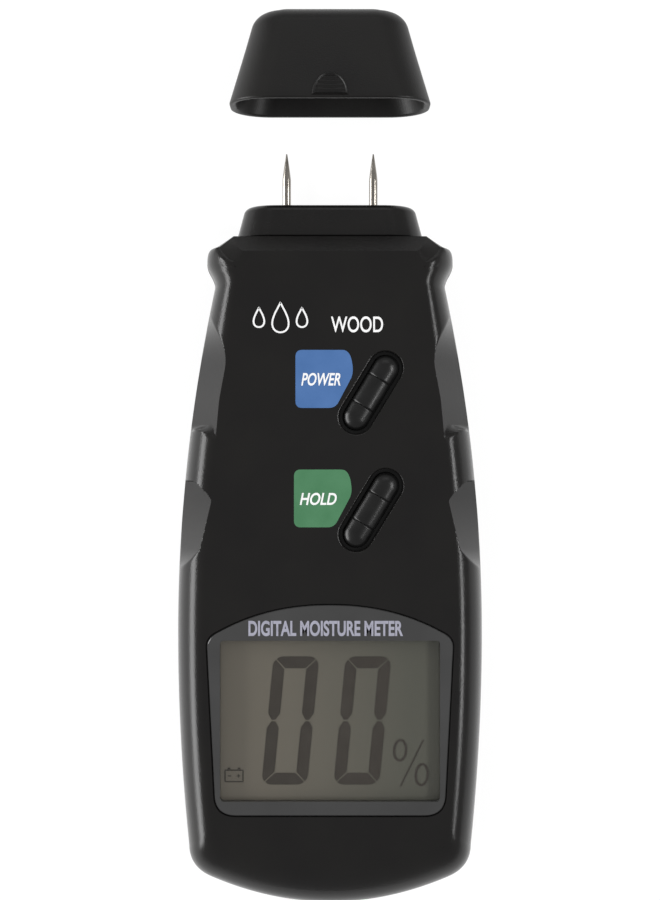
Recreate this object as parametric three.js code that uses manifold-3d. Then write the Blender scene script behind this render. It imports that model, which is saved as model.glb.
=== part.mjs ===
// Two-pin digital moisture meter, lying on its back.
// Millimetres. X across the meter, +Y towards the probe pins, +Z out of the display face.
// The origin is the middle of the flat back, halfway between the bottom end and the ledge under the nose.

import * as THREE from 'three';
import { LoftGeometry } from 'three/addons/geometries/LoftGeometry.js';
import { mergeVertices } from 'three/addons/utils/BufferGeometryUtils.js';
import Module from 'manifold-3d';

const wasm = await Module();
wasm.setup();

// ---------------------------------------------------------------- driving dimensions

const GAP = 0.3; // clearance between neighbouring pieces

// casing
const BODY_LENGTH = 136; // bottom end to ledge
const BODY_WIDTH = 62.8; // at the widest station
const BODY_DEPTH = 27; // back to display face
const PARTING_Z = 13.5; // joint line of the two shells
const WALL = 2; // shell wall
const WIDEST_FROM_BOTTOM = 55.6;
const HEEL_DROP = 2.3; // each side narrows by this much at the bottom corner
const HEEL_RISE = 11.9; // where the bottom corner starts, above the bottom end
const CORNER_RUN = 4.6; // width of the bottom corner
const END_SAG = 5.3; // how far the bottom end bows out
const NECK_WIDTH = 47.7;
const NECK_FROM_LEDGE = 10.4;
const SHOULDER_WIDTH = 50.8; // set by the nose that it carries
const SHOULDER_FROM_LEDGE = 4.7;
const SHOULDER_SLANT = [1.2, 2.2]; // inwards and down from the ledge, where the slant begins
const LEDGE_RUN = 3.7; // width of the slant
const SIDE_ROUND = [6, 10]; // front edge rounding along the sides: inwards, down
const END_ROUND = 13.4; // front edge rounding at the bottom end, inwards
const LEDGE_BEVEL = [3.3, 3]; // front edge bevel at the ledge: inwards, down
const FACE_END_SAG = 1; // the same values where the rounding meets the display face
const FACE_HEEL_RISE = 4.5;
const FACE_CORNER_RUN = 3.5;
const FACE_LEDGE_RUN = 0.8;
const BACK_ROUND = 4; // back edge rounding
const DRAFT = 0.2; // lean of the side walls
const TONGUE = { height: 1.4, thickness: 0.8 }; // lip of the rear shell inside the front shell

// probe nose and its block
const NOSE_SETBACK = 1.3; // ledge left free at each side of the nose
const NOSE = { height: 6.6, depth: 17.6, sideTaper: 0.26, faceTaper: 0.2, corner: 7.2, edge: 1.2 };
const BLOCK_NECK = { around: 4.6, depth: 12 }; // part in the ledge: width past each pin, depth
const BLOCK_FLANGE = { thickness: 3.6, step: 1.5 }; // part held behind the ledge

// probe pins and their sockets
const PIN = { radius: 0.875, spacing: 18, proud: 11.5, cone: 5.4, depth: 11, tipRadius: 0.12 };
const SOCKET = { radius: 2, length: 12, cover: 2.1 };

// cap
const CAP = { wall: 1.3, height: 20.3, sideTaper: 0.285, faceTaper: 0.2, corner: 8.5, edge: 3, roof: 1.4 };
const CAP_FIT = 0.4; // cap inside to nose, each side, at the lip
const CAP_PULL = 27.7; // how far off the ledge the cap is held

// window and display
const WINDOW = { margin: 6.8, taper: 1.6, fromBottom: 19.8, height: 42.1, archRise: 6.5, corner: 4.2 };
const WINDOW_LENS = { thickness: 1.1, recess: 1.3 };
const VIEW = { fromBottom: 22.6, height: 32.2, margin: 9.4 }; // visible part of the display
const GLASS = { thickness: 1.8, border: 1.2 };
const HOLDER = { thickness: 1.5, bar: 3 };
const ZEBRA = { width: 1.8, inset: 3 };

// keys
const KEY = { radius: 2.75, centres: 11.4, tilt: 31.2, fromSide: 23.2, proud: 0.8, travel: 1, foot: 1.15 };
const KEY_HOLE_CLEARANCE = 0.65;
const POWER_KEY_FROM_LEDGE = 31.6;
const KEY_PITCH = 23.5;
const CONTACT = { radius: 1.5, thickness: 0.4 };
const KEYPAD = { thickness: 1, clearance: 0.4, edge: 0.7 };

// battery, door and pen
const BATTERY = { length: 48.5, width: 26.5, thickness: 17.5, corner: 2, fromBottom: 7 };
const TERMINAL = { height: 2.5, offset: 6.4, studRadius: 2.9, socketRadius: 3.8 };
const SNAP = { width: 25, depth: 12, thickness: 5 };
const FOAM = { thickness: 1.2, width: 20 };
const DOOR = { thickness: 1.5, dovetail: 1, overhang: 4 };
const PEN = { wall: 1.2, height: 12 };

// board and what is on it
const BOARD = {
  thickness: 1.2, fromBottom: 19, fromLedge: 11, sideMargin: 7.9, neckLength: 17, neckMargin: 10.8,
};
const MAIN_CHIP = [10, 10, 1.6];
const OP_AMP = [5, 6.2, 1.6];
const TRIMMER = [6.6, 6.6, 4.6];
const CAPACITOR = { radius: 2.5, height: 7 };
const CRYSTAL = { radius: 1.5, length: 6 };

// screws and posts
const CASE_POST = { radius: 3.4, upperFromLedge: 18, upperMargin: 6.85, lowerFromBottom: 12.5 };
const CASE_SCREW = { radius: 1.3, headRadius: 2.5, headHeight: 1.8, seat: 8, top: 20 };
const BOARD_POST = { radius: 2.2, margin: 4.4, neckMargin: 2.4, fromTop: 3.2, aboveGlass: 5.7 };
const BOARD_SCREW = { radius: 0.8, headRadius: 1.8, headHeight: 1.2, length: 4.6 };

const LEAD_RADIUS = 0.6;

// ---------------------------------------------------------------- places worked out from the sizes

const ledgeY = BODY_LENGTH / 2;
const bottomY = -BODY_LENGTH / 2;
const widestY = bottomY + WIDEST_FROM_BOTTOM;
const neckY = ledgeY - NECK_FROM_LEDGE;
const shoulderY = ledgeY - SHOULDER_FROM_LEDGE;
const halfWidth = BODY_WIDTH / 2;
const neckHalf = NECK_WIDTH / 2;
const shoulderHalf = SHOULDER_WIDTH / 2;
const ledgeHalf = shoulderHalf - SHOULDER_SLANT[0] - LEDGE_RUN;
const frontInner = BODY_DEPTH - WALL;

const noseWidth = 2 * (ledgeHalf - NOSE_SETBACK);
const noseBase = ledgeY + GAP;
const noseTop = noseBase + NOSE.height;
const tipY = noseTop + PIN.proud;
const blockNeckWidth = PIN.spacing + 2 * BLOCK_NECK.around;
const socketTop = noseTop - SOCKET.cover - GAP;

const batteryBottom = bottomY + BATTERY.fromBottom;
const batteryTop = batteryBottom + BATTERY.length;
const batteryBack = DOOR.thickness + GAP;
const batteryFront = batteryBack + BATTERY.thickness;
const penHalf = BATTERY.width / 2 + DOOR.dovetail + 3 * GAP;
const snapBottom = batteryTop + GAP;
const snapTop = snapBottom + SNAP.thickness;
const doorTop = snapTop + DOOR.overhang;

const boardBack = batteryFront + GAP;
const boardFront = boardBack + BOARD.thickness;
const boardBottom = bottomY + BOARD.fromBottom;
const boardTop = ledgeY - BOARD.fromLedge;
const boardHalf = halfWidth - BOARD.sideMargin;
const boardNeckHalf = neckHalf - BOARD.neckMargin;

const viewHalf = halfWidth - VIEW.margin;
const viewCentre = bottomY + VIEW.fromBottom + VIEW.height / 2;
const glassFront = frontInner - GAP;
const glassBack = glassFront - GLASS.thickness;
const glassHalf = viewHalf + GLASS.border;
const glassHeight = VIEW.height + 2 * GLASS.border;
const holderBack = boardFront + GAP;

const contactBack = boardFront + GAP + KEY.travel;
const keyFoot = contactBack + CONTACT.thickness + GAP;
const keyTilt = -THREE.MathUtils.degToRad(KEY.tilt);
const keyX = halfWidth - KEY.fromSide;
const powerKeyY = ledgeY - POWER_KEY_FROM_LEDGE;
const keyCentres = { power: [keyX, powerKeyY], hold: [keyX, powerKeyY - KEY_PITCH] };

const lowerPostX = penHalf + PEN.wall + GAP + CASE_POST.radius;
const upperPostX = neckHalf - CASE_POST.upperMargin;
const casePosts = [-1, 1].flatMap((side) => [
  [side * lowerPostX, bottomY + CASE_POST.lowerFromBottom],
  [side * upperPostX, ledgeY - CASE_POST.upperFromLedge],
]);
const boardPosts = [-1, 1].flatMap((side) => [
  [side * (boardHalf - BOARD_POST.margin), viewCentre + glassHeight / 2 + BOARD_POST.aboveGlass],
  [side * (boardNeckHalf - BOARD_POST.neckMargin), boardTop - BOARD_POST.fromTop],
]);

// ---------------------------------------------------------------- solids

// A closed manifold solid from a three.js geometry.
function solid(geometry) {
  const bare = new THREE.BufferGeometry().copy(geometry);
  bare.deleteAttribute('normal');
  bare.deleteAttribute('uv');
  const merged = mergeVertices(bare, 1e-4);
  const index = merged.getIndex().array;
  const triangles = [];
  for (let i = 0; i < index.length; i += 3) {
    const [a, b, c] = [index[i], index[i + 1], index[i + 2]];
    if (a !== b && b !== c && c !== a) triangles.push(a, b, c);
  }
  return new wasm.Manifold(new wasm.Mesh({
    numProp: 3,
    vertProperties: new Float32Array(merged.getAttribute('position').array),
    triVerts: new Uint32Array(triangles),
  }));
}

function geometryOf(shape) {
  const mesh = shape.getMesh();
  const geometry = new THREE.BufferGeometry();
  geometry.setAttribute('position', new THREE.BufferAttribute(mesh.vertProperties, 3));
  geometry.setIndex(new THREE.BufferAttribute(mesh.triVerts, 1));
  geometry.computeVertexNormals();
  return geometry;
}

const join = (shapes) => shapes.reduce((sum, shape) => sum.add(shape));

// Stack of level outlines, bottom first, each [z, points].
function stack(levels) {
  const sections = levels.map(([z, points]) => points.map((p) => new THREE.Vector3(p.x, p.y, z)));
  return new LoftGeometry(sections, { capStart: true, capEnd: true });
}

// Turns a stack built along +Z so that it runs along +Y, centred on the pins' height.
function alongY(geometry) {
  return geometry.rotateX(-Math.PI / 2).translate(0, 0, PARTING_Z);
}

function box(x0, x1, y0, y1, z0, z1) {
  const geometry = new THREE.BoxGeometry(x1 - x0, y1 - y0, z1 - z0);
  return solid(geometry.translate((x0 + x1) / 2, (y0 + y1) / 2, (z0 + z1) / 2));
}

function prism(points, z0, z1) {
  const settings = { depth: z1 - z0, bevelEnabled: false };
  return solid(new THREE.ExtrudeGeometry(new THREE.Shape(points), settings).translate(0, 0, z0));
}

function post(x, y, radius, z0, z1, sides = 16) {
  const geometry = new THREE.CylinderGeometry(radius, radius, z1 - z0, sides).rotateX(Math.PI / 2);
  return solid(geometry.translate(x, y, (z0 + z1) / 2));
}

function rod(x, z, radius, y0, y1, sides = 16) {
  const geometry = new THREE.CylinderGeometry(radius, radius, y1 - y0, sides);
  return solid(geometry.translate(x, (y0 + y1) / 2, z));
}

function roundedRectangle(width, height, corner, steps = 4) {
  const radius = Math.min(corner, 0.45 * width, 0.45 * height);
  const points = [];
  for (let corner = 0; corner < 4; corner += 1) {
    const sx = corner === 0 || corner === 3 ? 1 : -1;
    const sy = corner < 2 ? 1 : -1;
    for (let i = 0; i <= steps; i += 1) {
      const angle = ((corner + i / steps) * Math.PI) / 2;
      points.push(new THREE.Vector2(
        sx * (width / 2 - radius) + radius * Math.cos(angle),
        sy * (height / 2 - radius) + radius * Math.sin(angle),
      ));
    }
  }
  return points;
}

// Pill outline, long axis tilted, centred on a key.
function pill([x, y], radius, steps = 6) {
  const points = [];
  for (const end of [1, -1]) {
    for (let i = 0; i <= steps; i += 1) {
      const angle = (Math.PI * i) / steps + (end > 0 ? 0 : Math.PI);
      const along = (end * KEY.centres) / 2 + radius * Math.sin(angle);
      const point = new THREE.Vector2(radius * Math.cos(angle), along);
      points.push(point.rotateAround(new THREE.Vector2(), keyTilt).add(new THREE.Vector2(x, y)));
    }
  }
  return points;
}

// A flexible lead along a smooth route.
function lead(route) {
  const section = new THREE.Shape();
  section.absarc(0, 0, LEAD_RADIUS, 0, 2 * Math.PI);
  const path = new THREE.CatmullRomCurve3(route.map((p) => new THREE.Vector3(...p)));
  const steps = Math.round(path.getLength() / (4 * LEAD_RADIUS));
  const settings = { extrudePath: path, steps, curveSegments: 4, bevelEnabled: false };
  return new THREE.ExtrudeGeometry(section, settings);
}

// ---------------------------------------------------------------- casing form

const mix = (a, b, t) => a + (b - a) * t;

function sideAt(y) {
  const below = (widestY - y) / (WIDEST_FROM_BOTTOM - HEEL_RISE);
  const above = (y - widestY) / (neckY - widestY);
  return halfWidth - (y < widestY ? HEEL_DROP * below ** 2 : (halfWidth - neckHalf) * above ** 2);
}

// Plan outline of the casing at one level. A level says how far the side, the bottom end and the ledge
// are drawn in, and how far the rounding has turned towards the face, from 0 to 1.
function outline({ side, end, ledge, turn }, inset = 0) {
  const drawn = side + inset;
  const bottom = bottomY + end + inset;
  const top = ledgeY - ledge - inset;
  const sag = mix(END_SAG, FACE_END_SAG, turn);
  const heelY = bottom + mix(HEEL_RISE, FACE_HEEL_RISE, turn);
  const heelX = sideAt(heelY) - drawn;
  const cornerX = heelX - mix(CORNER_RUN, FACE_CORNER_RUN, turn);
  const cornerSlope = (2 * sag) / cornerX;
  const neckX = neckHalf - drawn;
  const neckLean = (2 * (halfWidth - neckHalf)) / (neckY - widestY);
  const shoulderX = shoulderHalf - drawn;
  const reach = SHOULDER_FROM_LEDGE / 2;
  const neckBase = Math.min(neckY, top - NECK_FROM_LEDGE + LEDGE_BEVEL[0]);
  const shoulderBase = Math.min(shoulderY, top - SHOULDER_SLANT[1] - 0.4);
  const slantX = shoulderX - SHOULDER_SLANT[0];
  const half = new THREE.Path();
  half.moveTo(0, bottom);
  half.quadraticCurveTo(cornerX / 2, bottom, cornerX, bottom + sag);
  half.quadraticCurveTo(heelX, bottom + sag + cornerSlope * (heelX - cornerX), heelX, heelY);
  half.quadraticCurveTo(halfWidth - drawn, (heelY + widestY) / 2, halfWidth - drawn, widestY);
  half.quadraticCurveTo(halfWidth - drawn, (widestY + neckY) / 2, neckX, neckBase);
  half.bezierCurveTo(
    neckX - neckLean * reach, neckBase + reach, shoulderX, shoulderBase - reach, shoulderX, shoulderBase,
  );
  half.quadraticCurveTo(shoulderX, top - SHOULDER_SLANT[1] + 0.2, slantX, top - SHOULDER_SLANT[1]);
  half.lineTo(slantX - mix(LEDGE_RUN, FACE_LEDGE_RUN, turn), top);
  half.lineTo(0, top);
  const right = half.getPoints(5);
  const left = right.slice(1, -1).reverse().map((p) => new THREE.Vector2(-p.x, p.y));
  return [...right, ...left];
}

// Levels from the joint line up to the display face.
function frontLevels() {
  const round = BODY_DEPTH - SIDE_ROUND[1];
  const levels = [[PARTING_Z, { side: 0, end: 0, ledge: 0, turn: 0 }]];
  for (let i = 0; i <= 5; i += 1) {
    const angle = (i * Math.PI) / 10;
    const draw = 1 - Math.cos(angle);
    const z = round + SIDE_ROUND[1] * Math.sin(angle);
    const bevel = Math.max(0, (z - BODY_DEPTH + LEDGE_BEVEL[1]) / LEDGE_BEVEL[1]);
    levels.push([z, {
      side: DRAFT + SIDE_ROUND[0] * draw,
      end: DRAFT + END_ROUND * draw,
      ledge: LEDGE_BEVEL[0] * bevel,
      turn: draw,
    }]);
  }
  return levels;
}

// Levels from the flat back up to the joint line.
function rearLevels() {
  const levels = [];
  for (let i = 3; i >= 0; i -= 1) {
    const angle = (i * Math.PI) / 6;
    const draw = DRAFT + BACK_ROUND * (1 - Math.cos(angle));
    levels.push([BACK_ROUND * (1 - Math.sin(angle)), { side: draw, end: draw, ledge: draw / 2, turn: 0 }]);
  }
  levels.push([PARTING_Z, { side: 0, end: 0, ledge: 0, turn: 0 }]);
  return levels;
}

const frontOuter = solid(stack(frontLevels().map(([z, level]) => [z, outline(level)])))
  .subtract(box(-halfWidth, halfWidth, bottomY, ledgeY, PARTING_Z - 1, PARTING_Z + GAP / 2));
const rearOuter = solid(stack(rearLevels().map(([z, level]) => [z, outline(level)])))
  .subtract(box(-halfWidth, halfWidth, bottomY, ledgeY, PARTING_Z - GAP / 2, PARTING_Z + 1));

function frontCavity() {
  const squeeze = (frontInner - PARTING_Z) / (BODY_DEPTH - PARTING_Z);
  const levels = frontLevels().map(([z, level]) => [mix(PARTING_Z, z, squeeze), outline(level, WALL)]);
  levels[0][0] = PARTING_Z - 1;
  return solid(stack(levels));
}

function rearCavity() {
  const squeeze = (PARTING_Z - WALL) / PARTING_Z;
  const levels = rearLevels().map(([z, level]) => [mix(PARTING_Z, z, squeeze), outline(level, WALL)]);
  levels[levels.length - 1][0] = PARTING_Z + 1;
  return solid(stack(levels));
}

// Opening in the ledge for the neck of the electrode block.
function neckOpening() {
  const width = blockNeckWidth + 2 * GAP;
  const reach = BLOCK_NECK.depth / 2 + GAP;
  return box(-width / 2, width / 2, ledgeY - 2 * WALL, ledgeY + 1, PARTING_Z - reach, PARTING_Z + reach);
}

// Room behind the ledge for the flange of the electrode block.
function flangeRoom() {
  const half = blockNeckWidth / 2 + BLOCK_FLANGE.step + GAP;
  const depth = BLOCK_NECK.depth / 2 + BLOCK_FLANGE.step + GAP;
  const back = ledgeY - WALL - 2 * GAP - BLOCK_FLANGE.thickness;
  return box(-half, half, back, ledgeY - WALL, PARTING_Z - depth, PARTING_Z + depth);
}

// ---------------------------------------------------------------- pieces

// Window outline: an arched top, sides that lean in towards the bottom, rounded bottom corners.
function windowOutline(clearance) {
  const bottom = bottomY + WINDOW.fromBottom - clearance;
  const top = bottomY + WINDOW.fromBottom + WINDOW.height + clearance;
  const topHalf = halfWidth - WINDOW.margin + clearance;
  const bottomHalf = topHalf - WINDOW.taper;
  const corner = WINDOW.corner + clearance;
  const half = new THREE.Path();
  half.moveTo(0, bottom);
  half.lineTo(bottomHalf - corner, bottom);
  half.quadraticCurveTo(bottomHalf, bottom, bottomHalf + 0.1, bottom + corner);
  half.lineTo(topHalf, top - WINDOW.archRise - 2);
  half.quadraticCurveTo(topHalf, top - WINDOW.archRise, topHalf - 2.4, top - WINDOW.archRise + 1.1);
  half.quadraticCurveTo(topHalf / 2, top + 0.1, 0, top);
  const right = half.getPoints(6);
  return [...right, ...right.slice(1, -1).reverse().map((p) => new THREE.Vector2(-p.x, p.y))];
}

function frontShell() {
  const top = BODY_DEPTH - 0.5;
  const screwEnd = boardBack + BOARD_SCREW.length;
  const posts = casePosts.map(([x, y]) => post(x, y, CASE_POST.radius, PARTING_Z + GAP / 2, top));
  const bosses = boardPosts.map(([x, y]) => post(x, y, BOARD_POST.radius, boardFront + GAP, top));
  const pilots = [
    ...casePosts.map(([x, y]) => post(x, y, CASE_SCREW.radius + GAP, 0, CASE_SCREW.top + GAP, 12)),
    ...boardPosts.map(([x, y]) => post(x, y, BOARD_SCREW.radius + GAP, 0, screwEnd, 12)),
  ];
  const keyHoles = Object.values(keyCentres).map((centre) => (
    prism(pill(centre, KEY.radius + KEY_HOLE_CLEARANCE), PARTING_Z, BODY_DEPTH + 1)));
  const viewBottom = viewCentre - VIEW.height / 2;
  const viewTop = viewCentre + VIEW.height / 2;
  const viewOpening = box(-viewHalf, viewHalf, viewBottom, viewTop, PARTING_Z, BODY_DEPTH + 1);
  const recess = prism(windowOutline(GAP), BODY_DEPTH - WINDOW_LENS.recess, BODY_DEPTH + 1);
  const inside = join([...posts, ...bosses]).intersect(frontOuter);
  return frontOuter.subtract(frontCavity()).add(inside)
    .subtract(join([...pilots, ...keyHoles, viewOpening, recess, neckOpening()]));
}

// Dovetail strip that closes the battery bay, running out through the bottom end.
function doorStrip(clearance) {
  const narrow = BATTERY.width / 2 + clearance;
  const wide = narrow + DOOR.dovetail;
  const front = DOOR.thickness + clearance;
  const section = [
    [-narrow, -clearance], [narrow, -clearance], [narrow, 0], [wide, front], [-wide, front], [-narrow, 0],
  ];
  const shape = new THREE.Shape(section.map(([x, z]) => new THREE.Vector2(x, z)));
  const top = doorTop + clearance;
  const geometry = new THREE.ExtrudeGeometry(shape, { depth: top - bottomY + 1, bevelEnabled: false });
  return solid(geometry.rotateX(Math.PI / 2).translate(0, top, 0));
}

// The part of the bay that the door uncovers.
function bayOpening() {
  const half = BATTERY.width / 2 + DOOR.dovetail;
  return box(-half, half, batteryBottom - FOAM.thickness - 2 * GAP, doorTop, DOOR.thickness, WALL + 1);
}

function rearShell() {
  const posts = casePosts.map(([x, y]) => post(x, y, CASE_POST.radius, 0.5, PARTING_Z - GAP / 2));
  const bores = casePosts.flatMap(([x, y]) => [
    post(x, y, CASE_SCREW.radius + GAP, -1, PARTING_Z, 12),
    post(x, y, CASE_SCREW.headRadius + GAP, -1, CASE_SCREW.seat),
  ]);
  const penWalls = [-1, 1].map((side) => {
    const inner = side * penHalf;
    const outer = side * (penHalf + PEN.wall);
    return box(Math.min(inner, outer), Math.max(inner, outer), batteryBottom, doorTop, 0.5, PEN.height);
  });
  const level = { side: 0, end: 0, ledge: 0, turn: 0 };
  const tongueOuter = prism(outline(level, WALL + GAP), PARTING_Z - 4, PARTING_Z + TONGUE.height);
  const tongueInner = prism(outline(level, WALL + GAP + TONGUE.thickness), PARTING_Z - 5, PARTING_Z + 5);
  const tongueFoot = prism(outline(level, WALL / 2), PARTING_Z - 4, PARTING_Z - 2);
  const tongueSolid = tongueOuter.add(tongueFoot).subtract(tongueInner);
  const clearOfPosts = join(casePosts.map(([x, y]) => (
    post(x, y, CASE_POST.radius + GAP, PARTING_Z - GAP / 2, PARTING_Z + 5))));
  const inside = join([...posts, ...penWalls]).intersect(rearOuter);
  const tongue = tongueSolid.subtract(clearOfPosts).subtract(flangeRoom());
  return rearOuter.subtract(rearCavity()).add(inside).add(tongue)
    .subtract(join([...bores, doorStrip(GAP), bayOpening(), neckOpening()]));
}

function batteryDoor() {
  return doorStrip(0).intersect(rearOuter);
}

function noseSection(height, inset = 0) {
  const width = noseWidth - 2 * NOSE.sideTaper * height - 2 * inset;
  const depth = NOSE.depth - 2 * NOSE.faceTaper * height - 2 * inset;
  return roundedRectangle(width, depth, NOSE.corner - NOSE.faceTaper * height * 0.5 - inset);
}

function electrodeBlock() {
  const nose = [[noseBase, noseSection(0)]];
  for (let i = 0; i <= 3; i += 1) {
    const angle = (i * Math.PI) / 6;
    const height = NOSE.height - NOSE.edge * (1 - Math.sin(angle));
    nose.push([noseBase + height, noseSection(height, NOSE.edge * (1 - Math.cos(angle)))]);
  }
  const neck = roundedRectangle(blockNeckWidth, BLOCK_NECK.depth, 1, 1);
  const flangeTop = ledgeY - WALL - GAP;
  const flange = roundedRectangle(
    blockNeckWidth + 2 * BLOCK_FLANGE.step, BLOCK_NECK.depth + 2 * BLOCK_FLANGE.step, 1, 1,
  );
  const bores = [-1, 1].flatMap((side) => {
    const x = (side * PIN.spacing) / 2;
    return [
      rod(x, PARTING_Z, SOCKET.radius + GAP, flangeTop - BLOCK_FLANGE.thickness - 1, socketTop + GAP),
      rod(x, PARTING_Z, PIN.radius + GAP, flangeTop, noseTop + 1, 12),
    ];
  });
  return join([
    solid(alongY(stack(nose))),
    solid(alongY(stack([[flangeTop - 1, neck], [noseBase + 1, neck]]))),
    solid(alongY(stack([[flangeTop - BLOCK_FLANGE.thickness, flange], [flangeTop, flange]]))),
  ]).subtract(join(bores));
}

function pinSocket(side) {
  const x = (side * PIN.spacing) / 2;
  const bore = rod(x, PARTING_Z, PIN.radius + GAP, noseTop - PIN.depth - GAP, socketTop + 1, 12);
  return rod(x, PARTING_Z, SOCKET.radius, socketTop - SOCKET.length, socketTop).subtract(bore);
}

function probePin(side) {
  const circle = (radius) => Array.from({ length: 16 }, (_, i) => (
    new THREE.Vector2(radius * Math.cos((i * Math.PI) / 8), radius * Math.sin((i * Math.PI) / 8))));
  const geometry = alongY(stack([
    [noseTop - PIN.depth, circle(PIN.radius - 0.2)],
    [noseTop - PIN.depth + 0.3, circle(PIN.radius)],
    [tipY - PIN.cone, circle(PIN.radius)],
    [tipY, circle(PIN.tipRadius)],
  ]));
  return geometry.translate((side * PIN.spacing) / 2, 0, 0);
}

function capShape(inset, roof) {
  const edge = CAP.edge - inset;
  const top = CAP.height - roof;
  const section = (height, drawn) => roundedRectangle(
    noseWidth + 2 * (CAP_FIT + CAP.wall - inset - drawn - CAP.sideTaper * height),
    NOSE.depth + 2 * (CAP_FIT + CAP.wall - inset - drawn - CAP.faceTaper * height),
    CAP.corner - inset - 0.05 * height - 0.5 * drawn,
  );
  const base = noseBase + CAP_PULL;
  const levels = [[base - (inset > 0 ? 1 : 0), section(0, 0)]];
  for (let i = 0; i <= 3; i += 1) {
    const angle = (i * Math.PI) / 6;
    const height = top - edge * (1 - Math.sin(angle));
    levels.push([base + height, section(height, edge * (1 - Math.cos(angle)))]);
  }
  return solid(alongY(stack(levels)));
}

function cap() {
  return capShape(0, 0).subtract(capShape(CAP.wall, CAP.roof));
}

function key(centre) {
  const flangeTop = frontInner - GAP;
  const shoulder = BODY_DEPTH - 0.3;
  const top = BODY_DEPTH + KEY.proud;
  const dome = [0, 30, 60, 80].map((degrees) => {
    const angle = THREE.MathUtils.degToRad(degrees);
    const radius = 0.5 + (KEY.radius - 0.5) * Math.cos(angle);
    return [mix(shoulder, top, Math.sin(angle)), pill(centre, radius)];
  });
  return stack([
    [keyFoot, pill(centre, KEY.radius + KEY.foot)],
    [flangeTop, pill(centre, KEY.radius + KEY.foot)],
    [flangeTop, pill(centre, KEY.radius)],
    ...dome,
  ]);
}

function keypadWeb() {
  const reach = KEY.radius + KEY.foot + KEYPAD.clearance;
  const outlines = Object.values(keyCentres).map((centre) => pill(centre, reach));
  const holes = outlines.map((points) => prism(points, boardFront, BODY_DEPTH));
  const spread = (KEY.centres / 2) * Math.sin(-keyTilt) + reach + KEYPAD.edge;
  const rise = (KEY.centres / 2) * Math.cos(keyTilt) + reach + KEYPAD.edge;
  const back = boardFront + GAP;
  const bottom = keyCentres.hold[1] - rise;
  const top = keyCentres.power[1] + rise;
  const sheet = box(keyX - spread, keyX + spread, bottom, top, back, back + KEYPAD.thickness);
  const notches = casePosts.map(([x, y]) => post(x, y, CASE_POST.radius + GAP, 0, BODY_DEPTH));
  return sheet.subtract(join([...holes, ...notches]));
}

function circuitBoard() {
  const corner = 3;
  const neckStart = boardTop - BOARD.neckLength;
  const right = [
    [boardHalf - corner, boardBottom], [boardHalf, boardBottom + corner], [boardHalf, neckStart - corner],
    [boardHalf - corner, neckStart], [boardNeckHalf, neckStart], [boardNeckHalf, boardTop],
  ].map(([x, y]) => new THREE.Vector2(x, y));
  const left = [...right].reverse().map((p) => new THREE.Vector2(-p.x, p.y));
  const holes = boardPosts.map(([x, y]) => post(x, y, BOARD_SCREW.radius + GAP, 0, BODY_DEPTH, 12));
  return prism([...right, ...left], boardBack, boardFront).subtract(join(holes));
}

const glassBottom = viewCentre - glassHeight / 2;
const glassTop = viewCentre + glassHeight / 2;
const zebraCentres = [-1, 1].map((side) => viewCentre + side * (glassHeight / 2 - ZEBRA.inset));

function zebraStrip(y) {
  const half = glassHalf - HOLDER.bar;
  return box(-half, half, y - ZEBRA.width / 2, y + ZEBRA.width / 2, holderBack, glassBack - GAP);
}

function lcdHolder() {
  const slotHalf = glassHalf - HOLDER.bar + GAP;
  const slots = zebraCentres.map((y) => (
    box(-slotHalf, slotHalf, y - ZEBRA.width / 2 - GAP, y + ZEBRA.width / 2 + GAP, 0, BODY_DEPTH)));
  const middle = glassHeight / 2 - 2 * HOLDER.bar;
  const opening = box(-slotHalf, slotHalf, viewCentre - middle, viewCentre + middle, 0, BODY_DEPTH);
  const plate = box(-glassHalf, glassHalf, glassBottom, glassTop, holderBack, glassBack - GAP);
  return plate.subtract(join([...slots, opening]));
}

const batteryMiddle = (batteryBack + batteryFront) / 2;

function battery() {
  const body = alongY(stack([
    [batteryBottom, roundedRectangle(BATTERY.width, BATTERY.thickness, BATTERY.corner, 2)],
    [batteryTop - TERMINAL.height, roundedRectangle(BATTERY.width, BATTERY.thickness, BATTERY.corner, 2)],
  ])).translate(0, 0, batteryMiddle - PARTING_Z);
  const foot = batteryTop - TERMINAL.height - 1;
  const stud = rod(-TERMINAL.offset, batteryMiddle, TERMINAL.studRadius, foot, batteryTop);
  const cup = rod(TERMINAL.offset, batteryMiddle, TERMINAL.socketRadius, foot, batteryTop);
  return join([solid(body), stud, cup]);
}

function batterySnap() {
  const bottom = batteryTop - TERMINAL.height + GAP;
  const middle = batteryMiddle;
  const half = SNAP.depth / 2;
  const plate = box(-SNAP.width / 2, SNAP.width / 2, bottom, snapTop, middle - half, middle + half);
  const pockets = [
    rod(-TERMINAL.offset, middle, TERMINAL.studRadius + GAP, bottom - 1, batteryTop + GAP),
    rod(TERMINAL.offset, middle, TERMINAL.socketRadius + GAP, bottom - 1, batteryTop + GAP),
  ];
  return plate.subtract(join(pockets));
}

function batteryFoam() {
  const top = batteryBottom - GAP;
  return box(-FOAM.width / 2, FOAM.width / 2, top - FOAM.thickness, top, batteryBack + 2, batteryFront - 3);
}

function batteryLead(side) {
  const start = snapTop + GAP;
  const x = side * TERMINAL.offset;
  return lead([
    [x, start, batteryMiddle],
    [x, start + 2.5, batteryMiddle],
    [x * 1.1, start + 6, batteryMiddle + 1.5],
    [x * 1.25, start + 9, batteryMiddle + 5],
    [x * 1.3, start + 10, boardBack - 2.2],
    [x * 1.3, start + 10, boardBack - GAP],
  ]);
}

function electrodeLead(side) {
  const x = (side * PIN.spacing) / 2;
  const start = socketTop - SOCKET.length - GAP;
  return lead([
    [x, start, PARTING_Z],
    [x, start - 1.6, PARTING_Z],
    [x - side * 0.6, start - 4.4, PARTING_Z + 1.4],
    [x - side * 1.2, start - 6.4, boardBack - 2.4],
    [x - side * 1.2, start - 6.8, boardBack - GAP],
  ]);
}

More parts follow.
